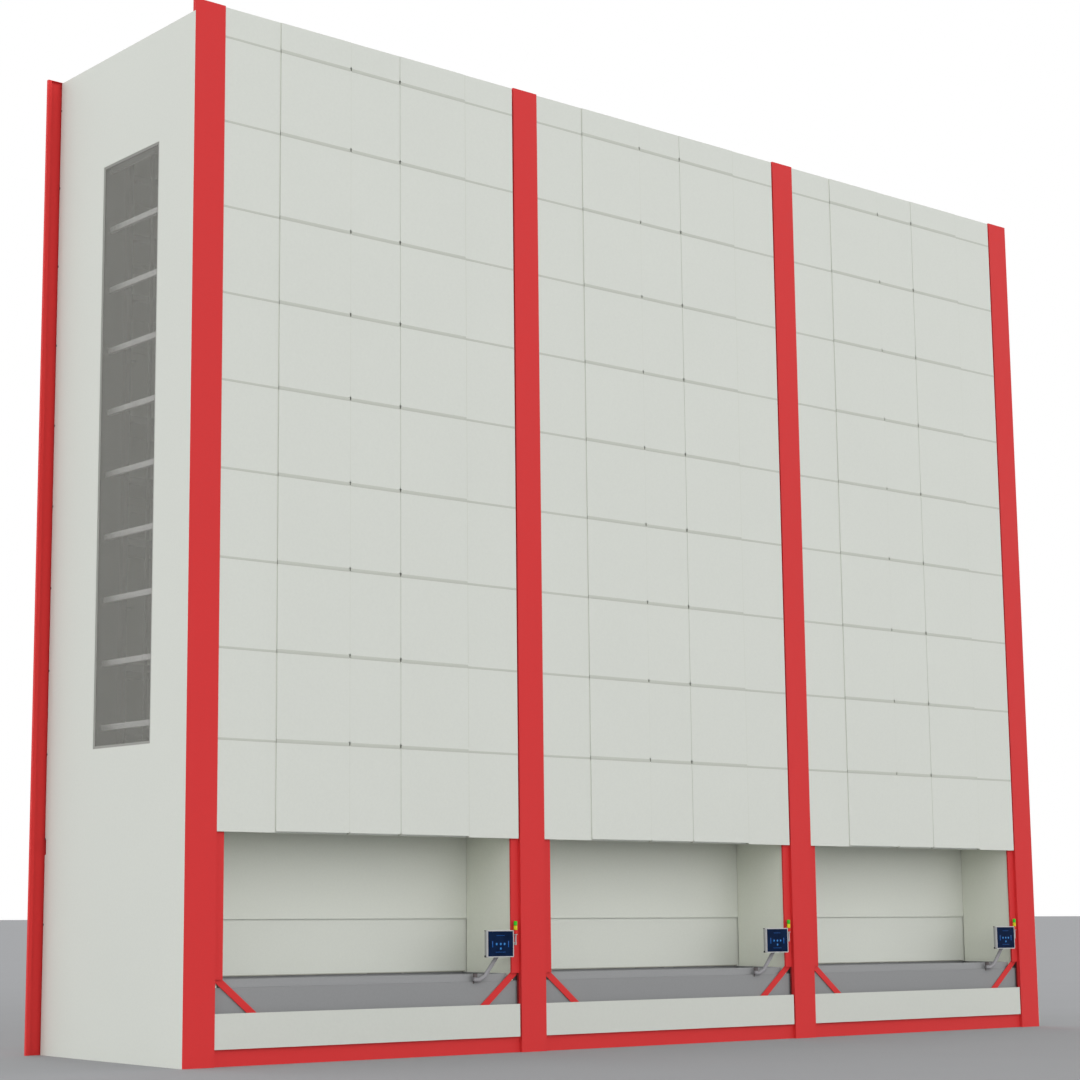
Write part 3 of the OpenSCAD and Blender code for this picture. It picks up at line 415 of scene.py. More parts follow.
@dataclass(frozen=True)
class Lit:
    """Coloured plastic that glows a little: on the screen marks as a lit screen does, and on the lenses as painted
    light that keeps them bright in shade.
    """

    name: str
    tint: Tint
    glow: float = 0.35
    bands: float = 420.0
    streaks: float = 60.0
    specular: float = 0.25

    def material(self) -> bpy.types.Material:
        """Returns the new material."""
        sheet = NodeSheet(self.name)
        tone = sheet.noise(1.0, 2.0, (self.streaks, self.streaks, self.bands))
        stops = [(DARK_STOP, linear(self.tint, 0.88)), (LIGHT_STOP, linear(self.tint, 1.08))]
        colour = sheet.ramp(tone, stops)
        sheet.colour(colour)
        sheet.colour(colour, "Emission Color")
        sheet.colour(sheet.spread(tone, 0.2, 0.3), "Roughness")
        sheet.set(Emission_Strength=self.glow, Specular_IOR_Level=self.specular)
        return sheet.material


Finish = Paint | Galvanised | Machined | Moulded | SmokedPane | Display | Lit

RED = Paint("red_powder_coat", (210, 50, 51))
# Red lighter than the front posts' red: painted light that offsets the shade on the rear posts in the corner
# beside the side walls.
REAR_RED_LIGHTENED = Paint("rear_post_red_painted_light", (219, 52, 52))
WHITE = Paint("white_powder_coat", (211, 214, 207))
# White darker than the panels' white: painted shade that the low panels get near the floor.
LOW_WHITE_SHADED = Paint("low_panel_painted_shade", (203, 206, 199))
# Whites lighter than the panels' white: painted light that offsets the shade inside the openings, strongest on the
# cavity liners.
LINER_LIGHTENED = Paint("liner_painted_light", (217, 220, 212))
BACK_WALL_LIGHTENED = Paint("back_wall_painted_light", (220, 223, 214))
CAVITY_LIGHTENED = Paint("cavity_painted_light", (227, 230, 218))
# Greys darker than the panels: painted shade of the seams between the front panels.
JOINT_SHADE = Paint("joint_strip_painted_shade", (190, 193, 184))
UPRIGHT_JOINT_SHADE = Paint("upright_joint_painted_shade", (199, 202, 191))
# Dark red: painted shade of the gap between each post and the table's apron.
RETURN_SHADE = Paint("post_return_painted_shade", (104, 26, 27))
# White lighter than the panels' white: painted light that offsets the shade on the rails in the recessed seams.
RAIL_LIGHTENED = Paint("rail_painted_light", (214, 217, 210))
TRAY = Paint("tray_powder_coat", (150, 151, 152), mottle=0.03)
TABLE = Paint("table_powder_coat", (142, 143, 144), mottle=0.03)
BASE = Paint("base_powder_coat", (72, 72, 74), mottle=0.05)
CARRIAGE = Paint("carriage_powder_coat", (160, 162, 164), mottle=0.03)
BRACKET = Paint("bracket_powder_coat", (70, 68, 70), mottle=0.05)
ARM = Paint("arm_powder_coat", (148, 147, 150), mottle=0.03, specular=0.1)
KNUCKLE = Paint("knuckle_powder_coat", (98, 92, 92), mottle=0.04)
POLE = Paint("pole_powder_coat", (178, 174, 175), mottle=0.03)
ZINC = Galvanised("galvanised_rack", (98, 98, 97))
# Near-white zinc: painted light that offsets the dim light on the tie rails behind the smoked pane.
TIE_ZINC_LIGHTENED = Galvanised("galvanised_tie_painted_light", (240, 239, 238), 0.05)
STEEL = Machined("ground_steel", (170, 172, 174))
CAST = Machined("cast_motor_case", (132, 134, 138), (260.0, 260.0, 260.0))
CASE = Moulded("console_plastic", (186, 187, 189))
CASE_BACK = Moulded("console_back_plastic", (158, 160, 156))
ROLLER = Moulded("roller_rubber", (46, 46, 48), 0.7)
RUBBER = Moulded("seal_rubber", (40, 40, 41), 0.75)
# Light brush tint: painted light that offsets the shade in the gap under each door.
BRUSH_LIGHTENED = Moulded("door_brush", (176, 176, 166), 0.85, 0.1)
GASKET = Moulded("window_gasket_rubber", (152, 152, 147), 0.8, 0.1)
PANE = SmokedPane("smoked_pane", (160, 160, 153))
SCREEN = Display("screen_picture", (19, 41, 76), (10, 24, 50))
# Lens glow: painted light that keeps the lenses bright and saturated in shade.
GREEN = Lit("green_lens_painted_glow", (46, 186, 34), glow=0.12)
AMBER = Lit("amber_lens_painted_glow", (207, 197, 28), glow=0.12)
SIGNAL_RED = Lit("red_lens_painted_glow", (206, 40, 34), glow=0.12)
MARK = Lit("screen_mark", (52, 126, 172), glow=0.45, bands=60.0)
FAINT = Lit("screen_faint_mark", (16, 70, 134), glow=0.5, bands=60.0)

FINISHES: dict[Slot, Finish] = {
    Slot.POST_RED: RED,
    Slot.PANEL_WHITE: WHITE,
    Slot.LINER_WHITE: LINER_LIGHTENED,
    Slot.RACK_STEEL: ZINC,
    Slot.BASE_DARK: BASE,
    Slot.TRAY_GREY: TRAY,
    Slot.TABLE_GREY: TABLE,
    Slot.WINDOW_GLASS: PANE,
    Slot.CARRIAGE_STEEL: CARRIAGE,
    Slot.ROLLER_DARK: ROLLER,
    Slot.MOTOR_GREY: CAST,
    Slot.DRIVE_STEEL: STEEL,
    Slot.CONSOLE_GREY: CASE,
    Slot.ARM_GREY: ARM,
    Slot.BRACKET_DARK: BRACKET,
    Slot.SCREEN_BLUE: SCREEN,
    Slot.LENS_GREEN: GREEN,
    Slot.LENS_AMBER: AMBER,
    Slot.LENS_RED: SIGNAL_RED,
}


def joint_place(name: str) -> Point:
    """Returns the point that a joint of that name turns about."""
    return next(tuple(joint["pos_m"]) for joint in frame["joints"] if joint["name"] == name)


@cache
def material_of(finish: Finish) -> bpy.types.Material:
    """Returns the one material of a finish."""
    return finish.material()


class Shape:
    """A mesh in the making that becomes one named piece."""

    def __init__(self) -> None:
        """Starts with nothing in it."""
        self.mesh = bmesh.new()

    def slab(self, low: Point, high: Point, edge: float) -> None:
        """Adds a block with rounded edges.

        Args:
            low: its lowest corner.
            high: its highest corner.
            edge: the radius of its edges.
        """
        size = Vector(high) - Vector(low)
        place = Matrix.Translation((Vector(low) + Vector(high)) / 2) @ Matrix.Diagonal((*size, 1.0))
        made = bmesh.ops.create_cube(self.mesh, size=1.0, matrix=place)
        self.soften(made["verts"], edge)

    def soften(self, verts: list[bmesh.types.BMVert], edge: float, segments: int = 2) -> None:
        """Rounds every edge at these vertices.

        Args:
            verts: the vertices.
            edge: the radius of the rounding.
            segments: how many faces there are across it.
        """
        edges = list({e for v in verts for e in v.link_edges})
        bmesh.ops.bevel(
            self.mesh, geom=edges, offset=edge, affect="EDGES", segments=segments, profile=0.5, material=-1
        )

    def turned(self, outline: list[tuple[float, float]], foot: Point, axis: Axis, steps: int = 28) -> None:
        """Adds a turned form.

        Args:
            outline: radius and height of each point of the profile.
            foot: the point on the axis at height 0.
            axis: the direction that the height goes in.
            steps: how many faces there are round it.
        """
        place = Matrix.Translation(foot) @ axis.turn()
        verts = [self.mesh.verts.new(place @ Vector((r, 0.0, h))) for r, h in outline]
        edges = [self.mesh.edges.new(pair) for pair in zip(verts, verts[1:])]
        bmesh.ops.spin(
            self.mesh, geom=verts + edges, cent=foot, axis=axis.value, dvec=(0, 0, 0),
            angle=math.tau, steps=steps, use_merge=True, use_duplicate=False,
        )
        bmesh.ops.remove_doubles(self.mesh, verts=list(self.mesh.verts), dist=0.01 * MM)

    def hexagon(self, foot: Point, axis: Axis, across: float, height: float) -> None:
        """Adds a bolt's head.

        Args:
            foot: the middle of the face that it sits on.
            axis: the direction that it points in.
            across: its width over the corners.
            height: its height.
        """
        place = Matrix.Translation(foot) @ axis.turn() @ Matrix.Translation((0, 0, height / 2))
        made = bmesh.ops.create_cone(
            self.mesh, cap_ends=True, segments=6, radius1=across / 2, radius2=across / 2, depth=height,
            matrix=place,
        )
        self.soften(made["verts"], 0.08 * across, segments=1)

    def piece(
        self, name: str, body: str, finish: Finish, replaces: tuple[str, ...] = ()
    ) -> bpy.types.Object:
        """Ends the shape as a piece of the object.

        Args:
            name: the piece's name.
            body: the CAD body that it moves with.
            finish: its finish.
            replaces: the CAD nodes that it stands for.

        Returns:
            The new object.
        """
        bmesh.ops.recalc_face_normals(self.mesh, faces=list(self.mesh.faces))
        data = bpy.data.meshes.new(name)
        for face in self.mesh.faces:
            face.smooth = True
        self.mesh.to_mesh(data)
        self.mesh.free()
        data.set_sharp_from_angle(angle=SMOOTH_BELOW)
        data.materials.append(material_of(finish))
        made = bpy.data.objects.new(name, data)
        bpy.context.scene.collection.objects.link(made)
        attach(made, body)
        if replaces:
            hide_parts(*replaces)
        log.info("%s: %d faces on %s", name, len(data.polygons), body)
        return made


@dataclass
class Housing:
    """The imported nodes, which keep their shapes and get the finish of their slot."""

    special: dict[str, Finish] = field(default_factory=lambda: {
        "cladding_rails": RAIL_LIGHTENED,
        "low_front_panels": LOW_WHITE_SHADED,
        "tie_rails": TIE_ZINC_LIGHTENED,
        "rear_posts": REAR_RED_LIGHTENED,
        "cavity_liners": CAVITY_LIGHTENED,
        "shutter_frames": BACK_WALL_LIGHTENED,
        "console_brackets": KNUCKLE,
        "stack_light_poles": POLE,
    })

    def dress(self) -> None:
        """Gives each node the material of its slot, or its own one."""
        for part in frame["record"]["subparts"]:
            name = part["node"]
            finish = self.special.get(name, FINISHES[Slot(part["material_slot"])])
            node = frame["nodes"][name]
            for place in node.material_slots:
                place.material = material_of(finish)
            log.info("%s: %s", name, finish.name)


@dataclass
class SignalLight:
    """The three stacked lenses at the right of each opening, with ribs and dark rings between them."""

    rib_depth: float = 1.2 * MM
    rib_pitch: float = 6.0 * MM
    ring_h: float = 2.0 * MM
    ring_set_back: float = 1.5 * MM
    dome_r: float = 8.0 * MM
    dome_steps: tuple[float, ...] = (20.0, 45.0, 70.0)

    def outline(self, radius: float, height: float, domed: bool) -> list[tuple[float, float]]:
        """Works out a lens's profile.

        Args:
            radius: the lens's radius.
            height: its height.
            domed: whether its top is rounded, as on the highest lens.

        Returns:
            Radius and height of each point, from the middle of the foot to the middle of the top.
        """
        top = height - (self.dome_r if domed else self.ring_h)
        points = [(0.0, self.ring_h), (radius - self.ring_set_back, self.ring_h)]
        ribs = max(2, round((top - self.ring_h) / self.rib_pitch))
        step = (top - self.ring_h) / ribs
        for k in range(ribs):
            low = self.ring_h + k * step
            points += [(radius - self.rib_depth, low + 0.1 * step), (radius, low + 0.5 * step)]
        points.append((radius - self.rib_depth, top))
        if domed:
            flat = radius - self.dome_r
            for degrees in self.dome_steps:
                a = math.radians(degrees)
                points.append((flat + self.dome_r * math.cos(a), top + self.dome_r * math.sin(a)))
            points.append((flat, height))
        points.append((0.0, height if domed else top))
        return points

    def build(self) -> None:
        """Builds one piece for each colour, and the rings between the lenses."""
        rings = Shape()
        colours = (
            ("red", Slot.LENS_RED, SIGNAL_RED),
            ("amber", Slot.LENS_AMBER, AMBER),
            ("green", Slot.LENS_GREEN, GREEN),
        )
        for colour, slot, finish in colours:
            node = f"{colour}_lenses"
            low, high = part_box(node)
            radius = (high.y - low.y) / 2
            pitch = (high.x - low.x - 2 * radius) / (len(BAYS) - 1)
            lenses = Shape()
            for index in range(len(BAYS)):
                foot = (low.x + radius + index * pitch, (low.y + high.y) / 2, low.z)
                lenses.turned(self.outline(radius, high.z - low.z, colour == "green"), foot, Axis.UP)
                edge = radius - self.ring_set_back / 2
                ring = [(0.0, 0.0), (edge, 0.0), (edge, self.ring_h), (0.0, self.ring_h)]
                rings.turned(ring, foot, Axis.UP)
            lenses.piece(f"{colour}_ribbed_lenses", HOUSING, finish, (node,))
        rings.piece("lens_rings", HOUSING, RUBBER)


@dataclass
class Console:
    """One bay's console: the marks on its screen, and the small parts on its case and arm."""

    bay: int
    mark_t: float = 0.5 * MM
    mark_edge: float = 0.2 * MM
    dot_r: float = 8.0 * MM
    halo_r: float = 15.0 * MM
    front_slab: float = 24.0 * MM
    case_depth: float = 52.0 * MM
    back_inset: float = 3.0 * MM
    back_edge: float = 4.0 * MM
    skin: float = 0.6 * MM
    pad_t: float = 1.5 * MM
    pad_w: float = 14.0 * MM
    pad_d: float = 20.0 * MM
    pad_edge: float = 2.0 * MM
    low_pad_h: float = 22.0 * MM
    high_pad_h: float = 9.0 * MM
    vents: int = 9
    vent_pitch: float = 11.0 * MM
    vent_w: float = 120.0 * MM
    vent_h: float = 5.0 * MM
    vent_rise: float = 3.0 * MM
    vent_edge: float = 1.2 * MM
    vent_drop: float = 40.0 * MM
    vent_spread: float = 66.0 * MM
    ear_face: float = 40.5 * MM
    knob_r: float = 13.0 * MM
    knob_h: float = 14.0 * MM
    cap_r: float = 25.0 * MM
    cap_h: float = 5.0 * MM
    dots: tuple[tuple[float, float], ...] = (
        (0.345, 0.51),
        (0.508, 0.51),
        (0.661, 0.51),
        (0.508, 0.69),
    )
    bars: tuple[tuple[float, float, float, float], ...] = (
        (0.165, 0.39, 0.2, 0.64),
        (0.8, 0.39, 0.835, 0.64),
        (0.3, 0.825, 0.7, 0.84),
        (0.34, 0.165, 0.66, 0.18),
    )

    @property
    def body(self) -> str:
        """Returns the body that the monitor's pieces ride on."""
        return f"monitor_{self.bay}"

    def on_screen(self, across: float, down: float) -> Point:
        """Returns the point of the screen's face at these shares of its width and height."""
        low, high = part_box(f"monitor_screen_{self.bay}")
        return (
            low.x + across * (high.x - low.x),
            low.y,
            high.z - down * (high.z - low.z),
        )

    def marks(self) -> None:
        """Builds the dots and bars that the lit screen shows."""
        bright = Shape()
        faint = Shape()
        dot = [(0.0, 1.2 * self.mark_t), (0.8 * self.dot_r, self.mark_t), (self.dot_r, 0.4 * self.mark_t)]
        halo = [(0.0, 0.6 * self.mark_t), (0.8 * self.halo_r, 0.5 * self.mark_t), (self.halo_r, 0.0)]
        for across, down in self.dots:
            bright.turned(dot, self.on_screen(across, down), Axis.FORWARD, steps=20)
            faint.turned(halo, self.on_screen(across, down), Axis.FORWARD, steps=20)
        bright.piece(f"screen_dots_{self.bay}", self.body, MARK)
        for left, top, right, bottom in self.bars:
            low = Vector(self.on_screen(left, bottom)) - Vector((0.0, self.mark_t, 0.0))
            high = self.on_screen(right, top)
            faint.slab(tuple(low), high, self.mark_edge)
        faint.piece(f"screen_bars_{self.bay}", self.body, FAINT)

    def back_cover(self) -> None:
        """Builds the darker rear half of the case, with louvres and rubber corner pads."""
        low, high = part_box(f"monitor_case_{self.bay}")
        back = low.y + self.case_depth
        inset = self.back_inset - self.skin
        cover = Shape()
        cover.slab(
            (low.x + inset, low.y + self.front_slab, low.z + inset),
            (high.x - inset, back + self.skin, high.z - inset), self.back_edge,
        )
        middle = (low.x + high.x - self.vent_w) / 2
        for row in range(self.vents):
            top = high.z - self.vent_drop - row * self.vent_pitch
            for x in (middle - self.vent_spread, middle + self.vent_spread):
                cover.slab(
                    (x, back, top - self.vent_h),
                    (x + self.vent_w, back + self.vent_rise, top), self.vent_edge,
                )
        cover.piece(f"case_back_{self.bay}", self.body, CASE_BACK)
        pads = Shape()
        for x in (low.x, high.x - self.pad_w):
            for z, height in ((low.z, self.low_pad_h), (high.z - self.high_pad_h, self.high_pad_h)):
                pads.slab(
                    (x, back - self.pad_d, z),
                    (x + self.pad_w, back + self.skin + self.pad_t, z + height), self.pad_edge,
                )
        pads.piece(f"case_corner_pads_{self.bay}", self.body, RUBBER)

    def fittings(self) -> None:
        """Builds the tilt knobs on the monitor and the cap on the arm's pivot."""
        tilt = joint_place(f"monitor_tilt_{self.bay}")
        swing = joint_place(f"arm_swing_{self.bay}")
        knobs = Shape()
        outline = [
            (0.0, 0.0), (self.knob_r, 0.0), (self.knob_r, 0.7 * self.knob_h),
            (0.8 * self.knob_r, self.knob_h), (0.0, self.knob_h),
        ]
        for axis, offset in ((Axis.LEFT, -self.ear_face), (Axis.RIGHT, self.ear_face)):
            knobs.turned(outline, (tilt[0] + offset, tilt[1], tilt[2]), axis, steps=12)
        knobs.piece(f"tilt_knobs_{self.bay}", self.body, RUBBER)
        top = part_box("console_brackets")[1].z
        cap = Shape()
        outline = [
            (0.0, 0.0), (self.cap_r, 0.0), (self.cap_r, 0.6 * self.cap_h),
            (0.8 * self.cap_r, self.cap_h), (0.0, self.cap_h),
        ]
        cap.turned(outline, (swing[0], swing[1], top), Axis.UP, steps=24)
        cap.piece(f"pivot_cap_{self.bay}", HOUSING, RUBBER)

    def build(self) -> None:
        """Builds every piece of this console."""
        self.marks()
        self.back_cover()
        self.fittings()


@dataclass
class PanelJoints:
    """The cover strips on the joints between the front panels, just proud of their faces, in greys darker than the
    panels that are painted shade of the seams.
    """

    first_seam: float = 3.255
    row_pitch: float = 0.929
    seams: int = 9
    seam_gap: float = 0.016
    middle_raise: float = 0.014
    lintel: float = 2.319
    top: float = 11.008
    centre_edge: float = 0.343
    side_edge: float = 1.289
    outer_edge: float = 2.008
    column_gap: float = 0.006
    outer_face: float = 0.004
    side_face: float = -0.004
    centre_face: float = 0.0
    proud: float = 0.5 * MM
    lap_below: float = 0.009
    lap_outside: float = 0.006
    corner_cut: float = 0.007
    corner_rise: float = 0.04
    rail_face: float = 0.047
    play: float = 0.3 * MM
    rounding: float = 0.4 * MM
    bay_pitch: float = 4.4

    def level(self) -> list[float]:
        """Returns the height of each seam."""
        return [self.first_seam + k * self.row_pitch for k in range(self.seams)]

    def along(self, shape: Shape, middle: float, front: float) -> None:
        """Adds one bay's level strips.

        Args:
            shape: the mesh that they go to.
            middle: the bay's middle.
            front: the place of the posts' front face.
        """
        half = self.column_gap / 2
        inner = self.centre_edge + half + self.corner_cut
        spans = [
            (self.side_edge + half, self.outer_edge, self.outer_face, 0.0),
            (inner, self.side_edge - half, self.side_face, self.middle_raise),
        ]
        spans += [(-right, -left, face, rise) for left, right, face, rise in spans]
        cut = self.centre_edge - half - self.corner_cut
        spans.append((-cut, cut, self.centre_face, self.middle_raise))
        for seam in self.level():
            low = seam - self.seam_gap / 2 - self.lap_below
            high = seam + self.seam_gap / 2 - self.play
            for left, right, face, rise in spans:
                shape.slab(
                    (middle + left, front + face - self.proud, low),
                    (middle + right, front + self.rail_face, high + rise), self.rounding,
                )

    def upright(self, shape: Shape, middle: float, front: float) -> None:
        """Adds one bay's upright strips, which stop at the seams.

        Args:
            shape: the mesh that they go to.
            middle: the bay's middle.
            front: the place of the posts' front face.
        """
        half = self.column_gap / 2 - self.play
        edges = [self.lintel, *self.level(), self.top]
        columns = (
            (self.centre_edge, self.centre_face, 0.0),
            (self.side_edge, self.outer_face, self.lap_outside),
        )
        for low, high in zip(edges, edges[1:]):
            foot = low + (0.0 if low == self.lintel else self.corner_rise)
            head = high - (0.0 if high == self.top else self.seam_gap / 2 + self.lap_below)
            for place, face, lap in columns:
                for side in (-1, 1):
                    ends = (middle + side * (place - half), middle + side * (place + half + lap))
                    shape.slab(
                        (min(ends), front + face - self.proud, foot),
                        (max(ends), front + self.rail_face, head), self.rounding,
                    )

    def build(self) -> None:
        """Builds the level strips as one piece and the upright ones as another."""
        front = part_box("front_posts")[0].y
        level = Shape()
        upright = Shape()
        for bay in BAYS:
            middle = (bay - 2) * self.bay_pitch
            self.along(level, middle, front)
            self.upright(upright, middle, front)
        level.piece("level_joint_strips", HOUSING, JOINT_SHADE)
        upright.piece("upright_joint_strips", HOUSING, UPRIGHT_JOINT_SHADE)


@dataclass
class WindowGasket:
    """The grey rubber that seals the smoked pane in the left wall, sloped down towards the pane."""

    width: float = 0.028
    pane_lap: float = 0.020
    high_rim: float = 0.007
    low_rim: float = 0.001
    play: float = 0.3 * MM
    rounding: float = 0.3 * MM

    def loop(self, shape: Shape, inset: float, x: float) -> list[bmesh.types.BMEdge]:
        """Adds the four sides of a rectangle that follows the opening.

        Args:
            shape: the mesh that they go to.
            inset: how far inside the opening's edge the rectangle is.
            x: the place of its plane.

        Returns:
            The sides in order.
        """
        low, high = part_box("side_window")
        edge = self.pane_lap + inset
        near, far = low.y + edge, high.y - edge
        bottom, top = low.z + edge, high.z - edge
        corners = ((near, bottom), (far, bottom), (far, top), (near, top))
        verts = [shape.mesh.verts.new((x, y, z)) for y, z in corners]
        return [shape.mesh.edges.new(pair) for pair in zip(verts, verts[1:] + verts[:1])]

    def build(self) -> None:
        """Builds the gasket as one closed ring on the pane's outer face."""
        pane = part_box("side_window")[0].x - self.play
        shape = Shape()
        loops = [
            self.loop(shape, self.play, pane - self.high_rim),
            self.loop(shape, self.width, pane - self.low_rim),
            self.loop(shape, self.width, pane),
            self.loop(shape, self.play, pane),
        ]
        for first, second in zip(loops, loops[1:] + loops[:1]):
            bmesh.ops.bridge_loops(shape.mesh, edges=first + second)
        shape.soften(list(shape.mesh.verts), self.rounding)
        shape.piece("window_gasket", HOUSING, GASKET)


@dataclass
class SmallFittings:
    """Post returns, door brushes, hooks on the walls' rear edges, and screws of the rear and the roof."""

    bay_pitch: float = 4.4
    post_edge: float = 0.190
    post_trim: float = 0.018
    return_out: float = 0.022
    return_in: float = 0.030
    return_t: float = 0.004
    return_low: float = 0.172
    return_high: float = 0.850
    post_d: float = 0.047
    hook_pitch: float = 0.9168
    hook_first: float = 1.371
    hooks: int = 11
    hook_h: float = 0.022
    hook_w: float = 0.011
    hook_out: float = 0.005
    row_pitch: float = 0.929
    screw_across: float = 0.020
    screw_h: float = 0.005
    screw_inset: float = 0.045
    rear_first_seam: float = 0.468
    rear_rows: int = 12
    rear_places: tuple[float, ...] = (-2.1, -0.05, 0.05, 2.1)
    roof_screws_across: int = 7
    roof_pitch: float = 0.68
    brush_inset: float = 0.020
    brush_t: float = 0.012
    brush_play: float = 0.003

    def returns(self) -> None:
        """Builds the narrow returns beside the posts under the jambs, in a dark red that is painted shade of the
        gap there.
        """
        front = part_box("front_posts")[0].y
        shape = Shape()
        for bay in BAYS:
            edge = (bay - 1.5) * self.bay_pitch - self.post_edge + self.post_trim
            shape.slab(
                (edge - self.return_out, front + self.post_d, self.return_low),
                (edge + self.return_in, front + self.post_d + self.return_t, self.return_high), MM,
            )
        shape.piece("post_returns", HOUSING, RETURN_SHADE)

    def door_brushes(self) -> None:
        """Builds the brush under each door, which ends just above the tray."""
        for bay in BAYS:
            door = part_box(f"access_door_{bay}")
            tray_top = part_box(f"delivered_tray_{bay}")[1].z
            shape = Shape()
            shape.slab(
                (door[0].x + self.brush_inset, door[0].y + MM, tray_top + self.brush_play),
                (door[1].x - self.brush_inset, door[0].y + self.brush_t, door[0].z + MM), MM,
            )
            shape.piece(f"door_brush_{bay}", f"access_door_{bay}", BRUSH_LIGHTENED)

    def wall_hooks(self) -> None:
        """Builds the small hooks that hold the side walls' rear edges."""
        shape = Shape()
        for node, side in (("left_side_wall", -1), ("right_side_wall", 1)):
            low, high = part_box(node)
            face = low.x if side < 0 else high.x
            for k in range(self.hooks):
                z = self.hook_first + k * self.hook_pitch
                near, far = sorted((face - side * MM, face + side * self.hook_out))
                shape.slab((near, high.y - self.hook_w, z), (far, high.y, z + self.hook_h), MM)
        shape.piece("wall_edge_hooks", HOUSING, BRACKET)

    def rear_screws(self) -> None:
        """Builds the screws at the corners of the rear panels."""
        low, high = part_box("rear_panels")
        shape = Shape()
        between = [self.rear_first_seam + k * self.row_pitch for k in range(self.rear_rows)]
        seams = [low.z, *between, high.z]
        for bay in BAYS:
            middle = (bay - 2) * self.bay_pitch
            for bottom, top in zip(seams, seams[1:]):
                for x in self.rear_places:
                    for z in (bottom + self.screw_inset, top - self.screw_inset):
                        shape.hexagon((middle + x, high.y, z), Axis.BACK, self.screw_across, self.screw_h)
        shape.piece("rear_panel_screws", HOUSING, STEEL)

    def roof_screws(self) -> None:
        """Builds the screws along the edges of the roof panels."""
        low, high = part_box("roof_panels")
        shape = Shape()
        for bay in BAYS:
            middle = (bay - 2) * self.bay_pitch
            for k in range(self.roof_screws_across):
                x = middle + (k - (self.roof_screws_across - 1) / 2) * self.roof_pitch
                for y in (low.y + self.screw_inset, high.y - self.screw_inset):
                    shape.hexagon((x, y, high.z), Axis.UP, self.screw_across, self.screw_h)
        shape.piece("roof_panel_screws", HOUSING, STEEL)

    def build(self) -> None:
        """Builds every small fitting."""
        self.returns()
        self.door_brushes()
        self.wall_hooks()
        self.rear_screws()
        self.roof_screws()


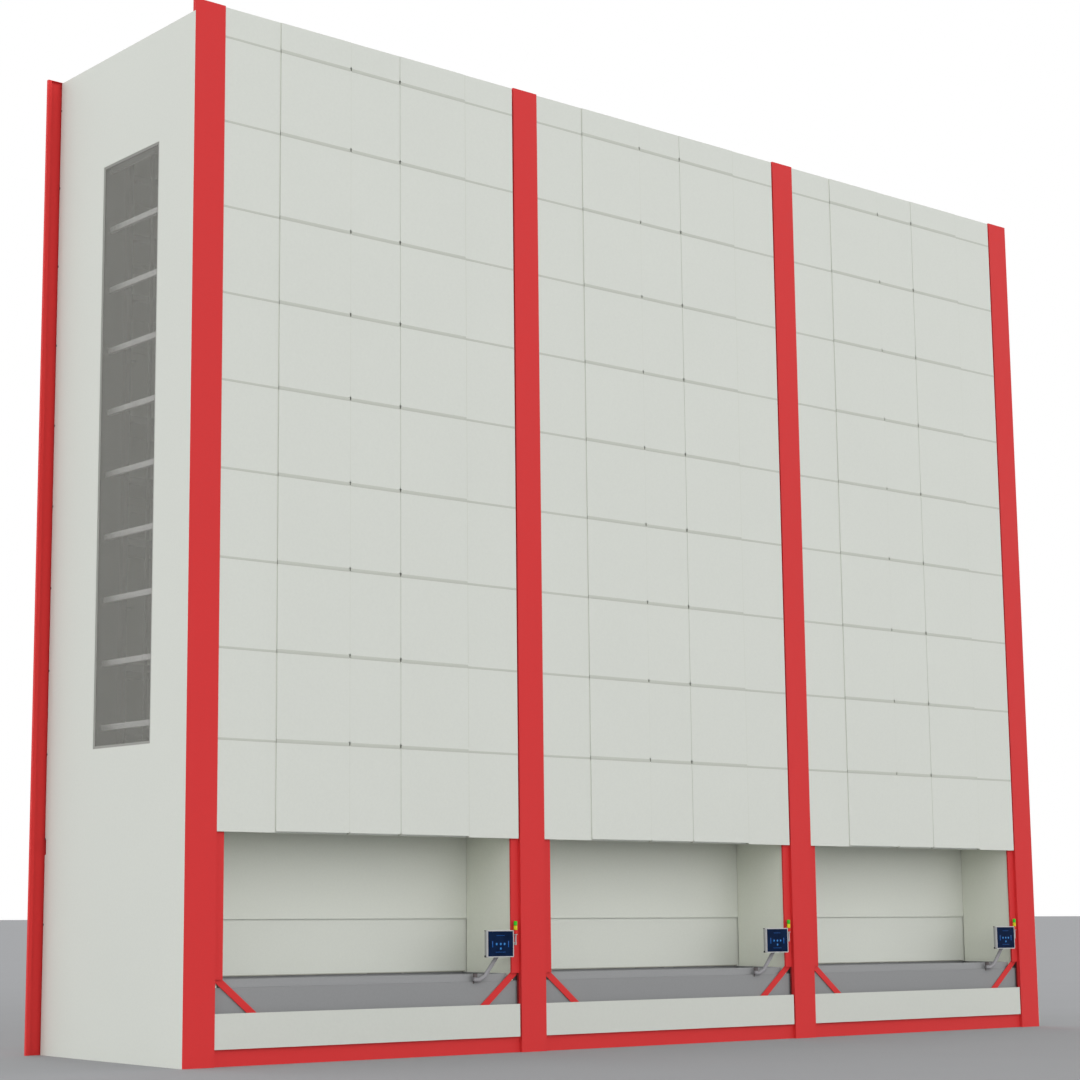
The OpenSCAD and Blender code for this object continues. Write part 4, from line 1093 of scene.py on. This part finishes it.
@dataclass
class Studio:
    """The plain floor, the soft even light and the camera at the photograph's view."""

    floor_x: float = 500.0
    floor_front: float = -250.0
    floor_back: float = 249.0
    floor_tint: Tint = (155, 156, 158)
    floor_roughness: float = 0.9
    horizon_light: float = 1.34
    zenith_light: float = 0.53
    sun_light: float = 0.78
    sun_height: float = 21.0
    sun_width: float = 70.0
    camera_place: Point = (-19.3856, -20.7886, 1.5597)
    camera_yaw: float = 37.808
    camera_pitch: float = 8.965
    lens: float = 76.84
    sensor: float = 36.0
    shift_x: float = 0.1473
    shift_y: float = 0.0039

    def floor(self) -> None:
        """Lays the floor, which ends far behind the object."""
        shape = bmesh.new()
        corners = [
            (-self.floor_x, self.floor_front), (self.floor_x, self.floor_front),
            (self.floor_x, self.floor_back), (-self.floor_x, self.floor_back),
        ]
        shape.faces.new([shape.verts.new((x, y, 0.0)) for x, y in corners])
        data = bpy.data.meshes.new("studio_floor")
        shape.to_mesh(data)
        shape.free()
        finish = Paint("studio_floor", self.floor_tint, roughness=self.floor_roughness, specular=0.0)
        data.materials.append(material_of(finish))
        made = bpy.data.objects.new("studio_floor", data)
        bpy.context.scene.collection.objects.link(made)

    def light(self) -> None:
        """Lights the scene evenly from all round, and shows a white background."""
        world = bpy.data.worlds.new("studio_light")
        bpy.context.scene.world = world
        world.use_nodes = True
        tree = world.node_tree
        tree.nodes.clear()
        direction = tree.nodes.new("ShaderNodeTexCoord").outputs["Generated"]
        split = tree.nodes.new("ShaderNodeSeparateXYZ")
        tree.links.new(direction, split.inputs[0])
        level = tree.nodes.new("ShaderNodeMapRange")
        level.inputs["To Min"].default_value = self.horizon_light
        level.inputs["To Max"].default_value = self.zenith_light
        tree.links.new(split.outputs["Z"], level.inputs["Value"])
        soft = tree.nodes.new("ShaderNodeBackground")
        tree.links.new(level.outputs["Result"], soft.inputs["Strength"])
        soft.inputs["Color"].default_value = (1.0, 1.0, 1.0, 1.0)
        white = tree.nodes.new("ShaderNodeBackground")
        white.inputs["Color"].default_value = (1.0, 1.0, 1.0, 1.0)
        path = tree.nodes.new("ShaderNodeLightPath")
        shown = path.outputs["Is Camera Ray"]
        for name in ("Is Glossy Ray", "Is Transmission Ray"):
            either = tree.nodes.new("ShaderNodeMath")
            either.operation = "MAXIMUM"
            tree.links.new(shown, either.inputs[0])
            tree.links.new(path.outputs[name], either.inputs[1])
            shown = either.outputs[0]
        mix = tree.nodes.new("ShaderNodeMixShader")
        tree.links.new(shown, mix.inputs[0])
        tree.links.new(soft.outputs[0], mix.inputs[1])
        tree.links.new(white.outputs[0], mix.inputs[2])
        output = tree.nodes.new("ShaderNodeOutputWorld")
        tree.links.new(mix.outputs[0], output.inputs["Surface"])

    def suns(self) -> None:
        """Adds four equal and very soft lamps, one from each side, that reach into the openings."""
        for index, turn in enumerate((0, 90, 180, 270)):
            data = bpy.data.lights.new(f"soft_lamp_{index + 1}", "SUN")
            data.energy = self.sun_light
            data.angle = math.radians(self.sun_width)
            made = bpy.data.objects.new(data.name, data)
            made.rotation_euler = (math.radians(90 - self.sun_height), 0.0, math.radians(turn))
            bpy.context.scene.collection.objects.link(made)

    def camera(self) -> None:
        """Places the camera where the photograph was taken from."""
        data = bpy.data.cameras.new("photo_camera")
        data.lens = self.lens
        data.sensor_width = self.sensor
        data.shift_x = self.shift_x
        data.shift_y = self.shift_y
        data.clip_end = 2 * self.floor_x
        made = bpy.data.objects.new("photo_camera", data)
        made.location = self.camera_place
        made.rotation_euler = (math.radians(90 + self.camera_pitch), 0.0, math.radians(-self.camera_yaw))
        bpy.context.scene.collection.objects.link(made)
        bpy.context.scene.camera = made

    def build(self) -> None:
        """Builds the floor, the light and the camera."""
        bpy.context.scene.view_settings.view_transform = "Standard"
        self.floor()
        self.light()
        self.suns()
        self.camera()


def main() -> None:
    """Builds every class in order."""
    logging.basicConfig(level=logging.INFO, format="%(message)s")
    Housing().dress()
    PanelJoints().build()
    WindowGasket().build()
    SmallFittings().build()
    SignalLight().build()
    for bay in BAYS:
        Console(bay).build()
    Studio().build()


if __name__ == "__main__":
    main()
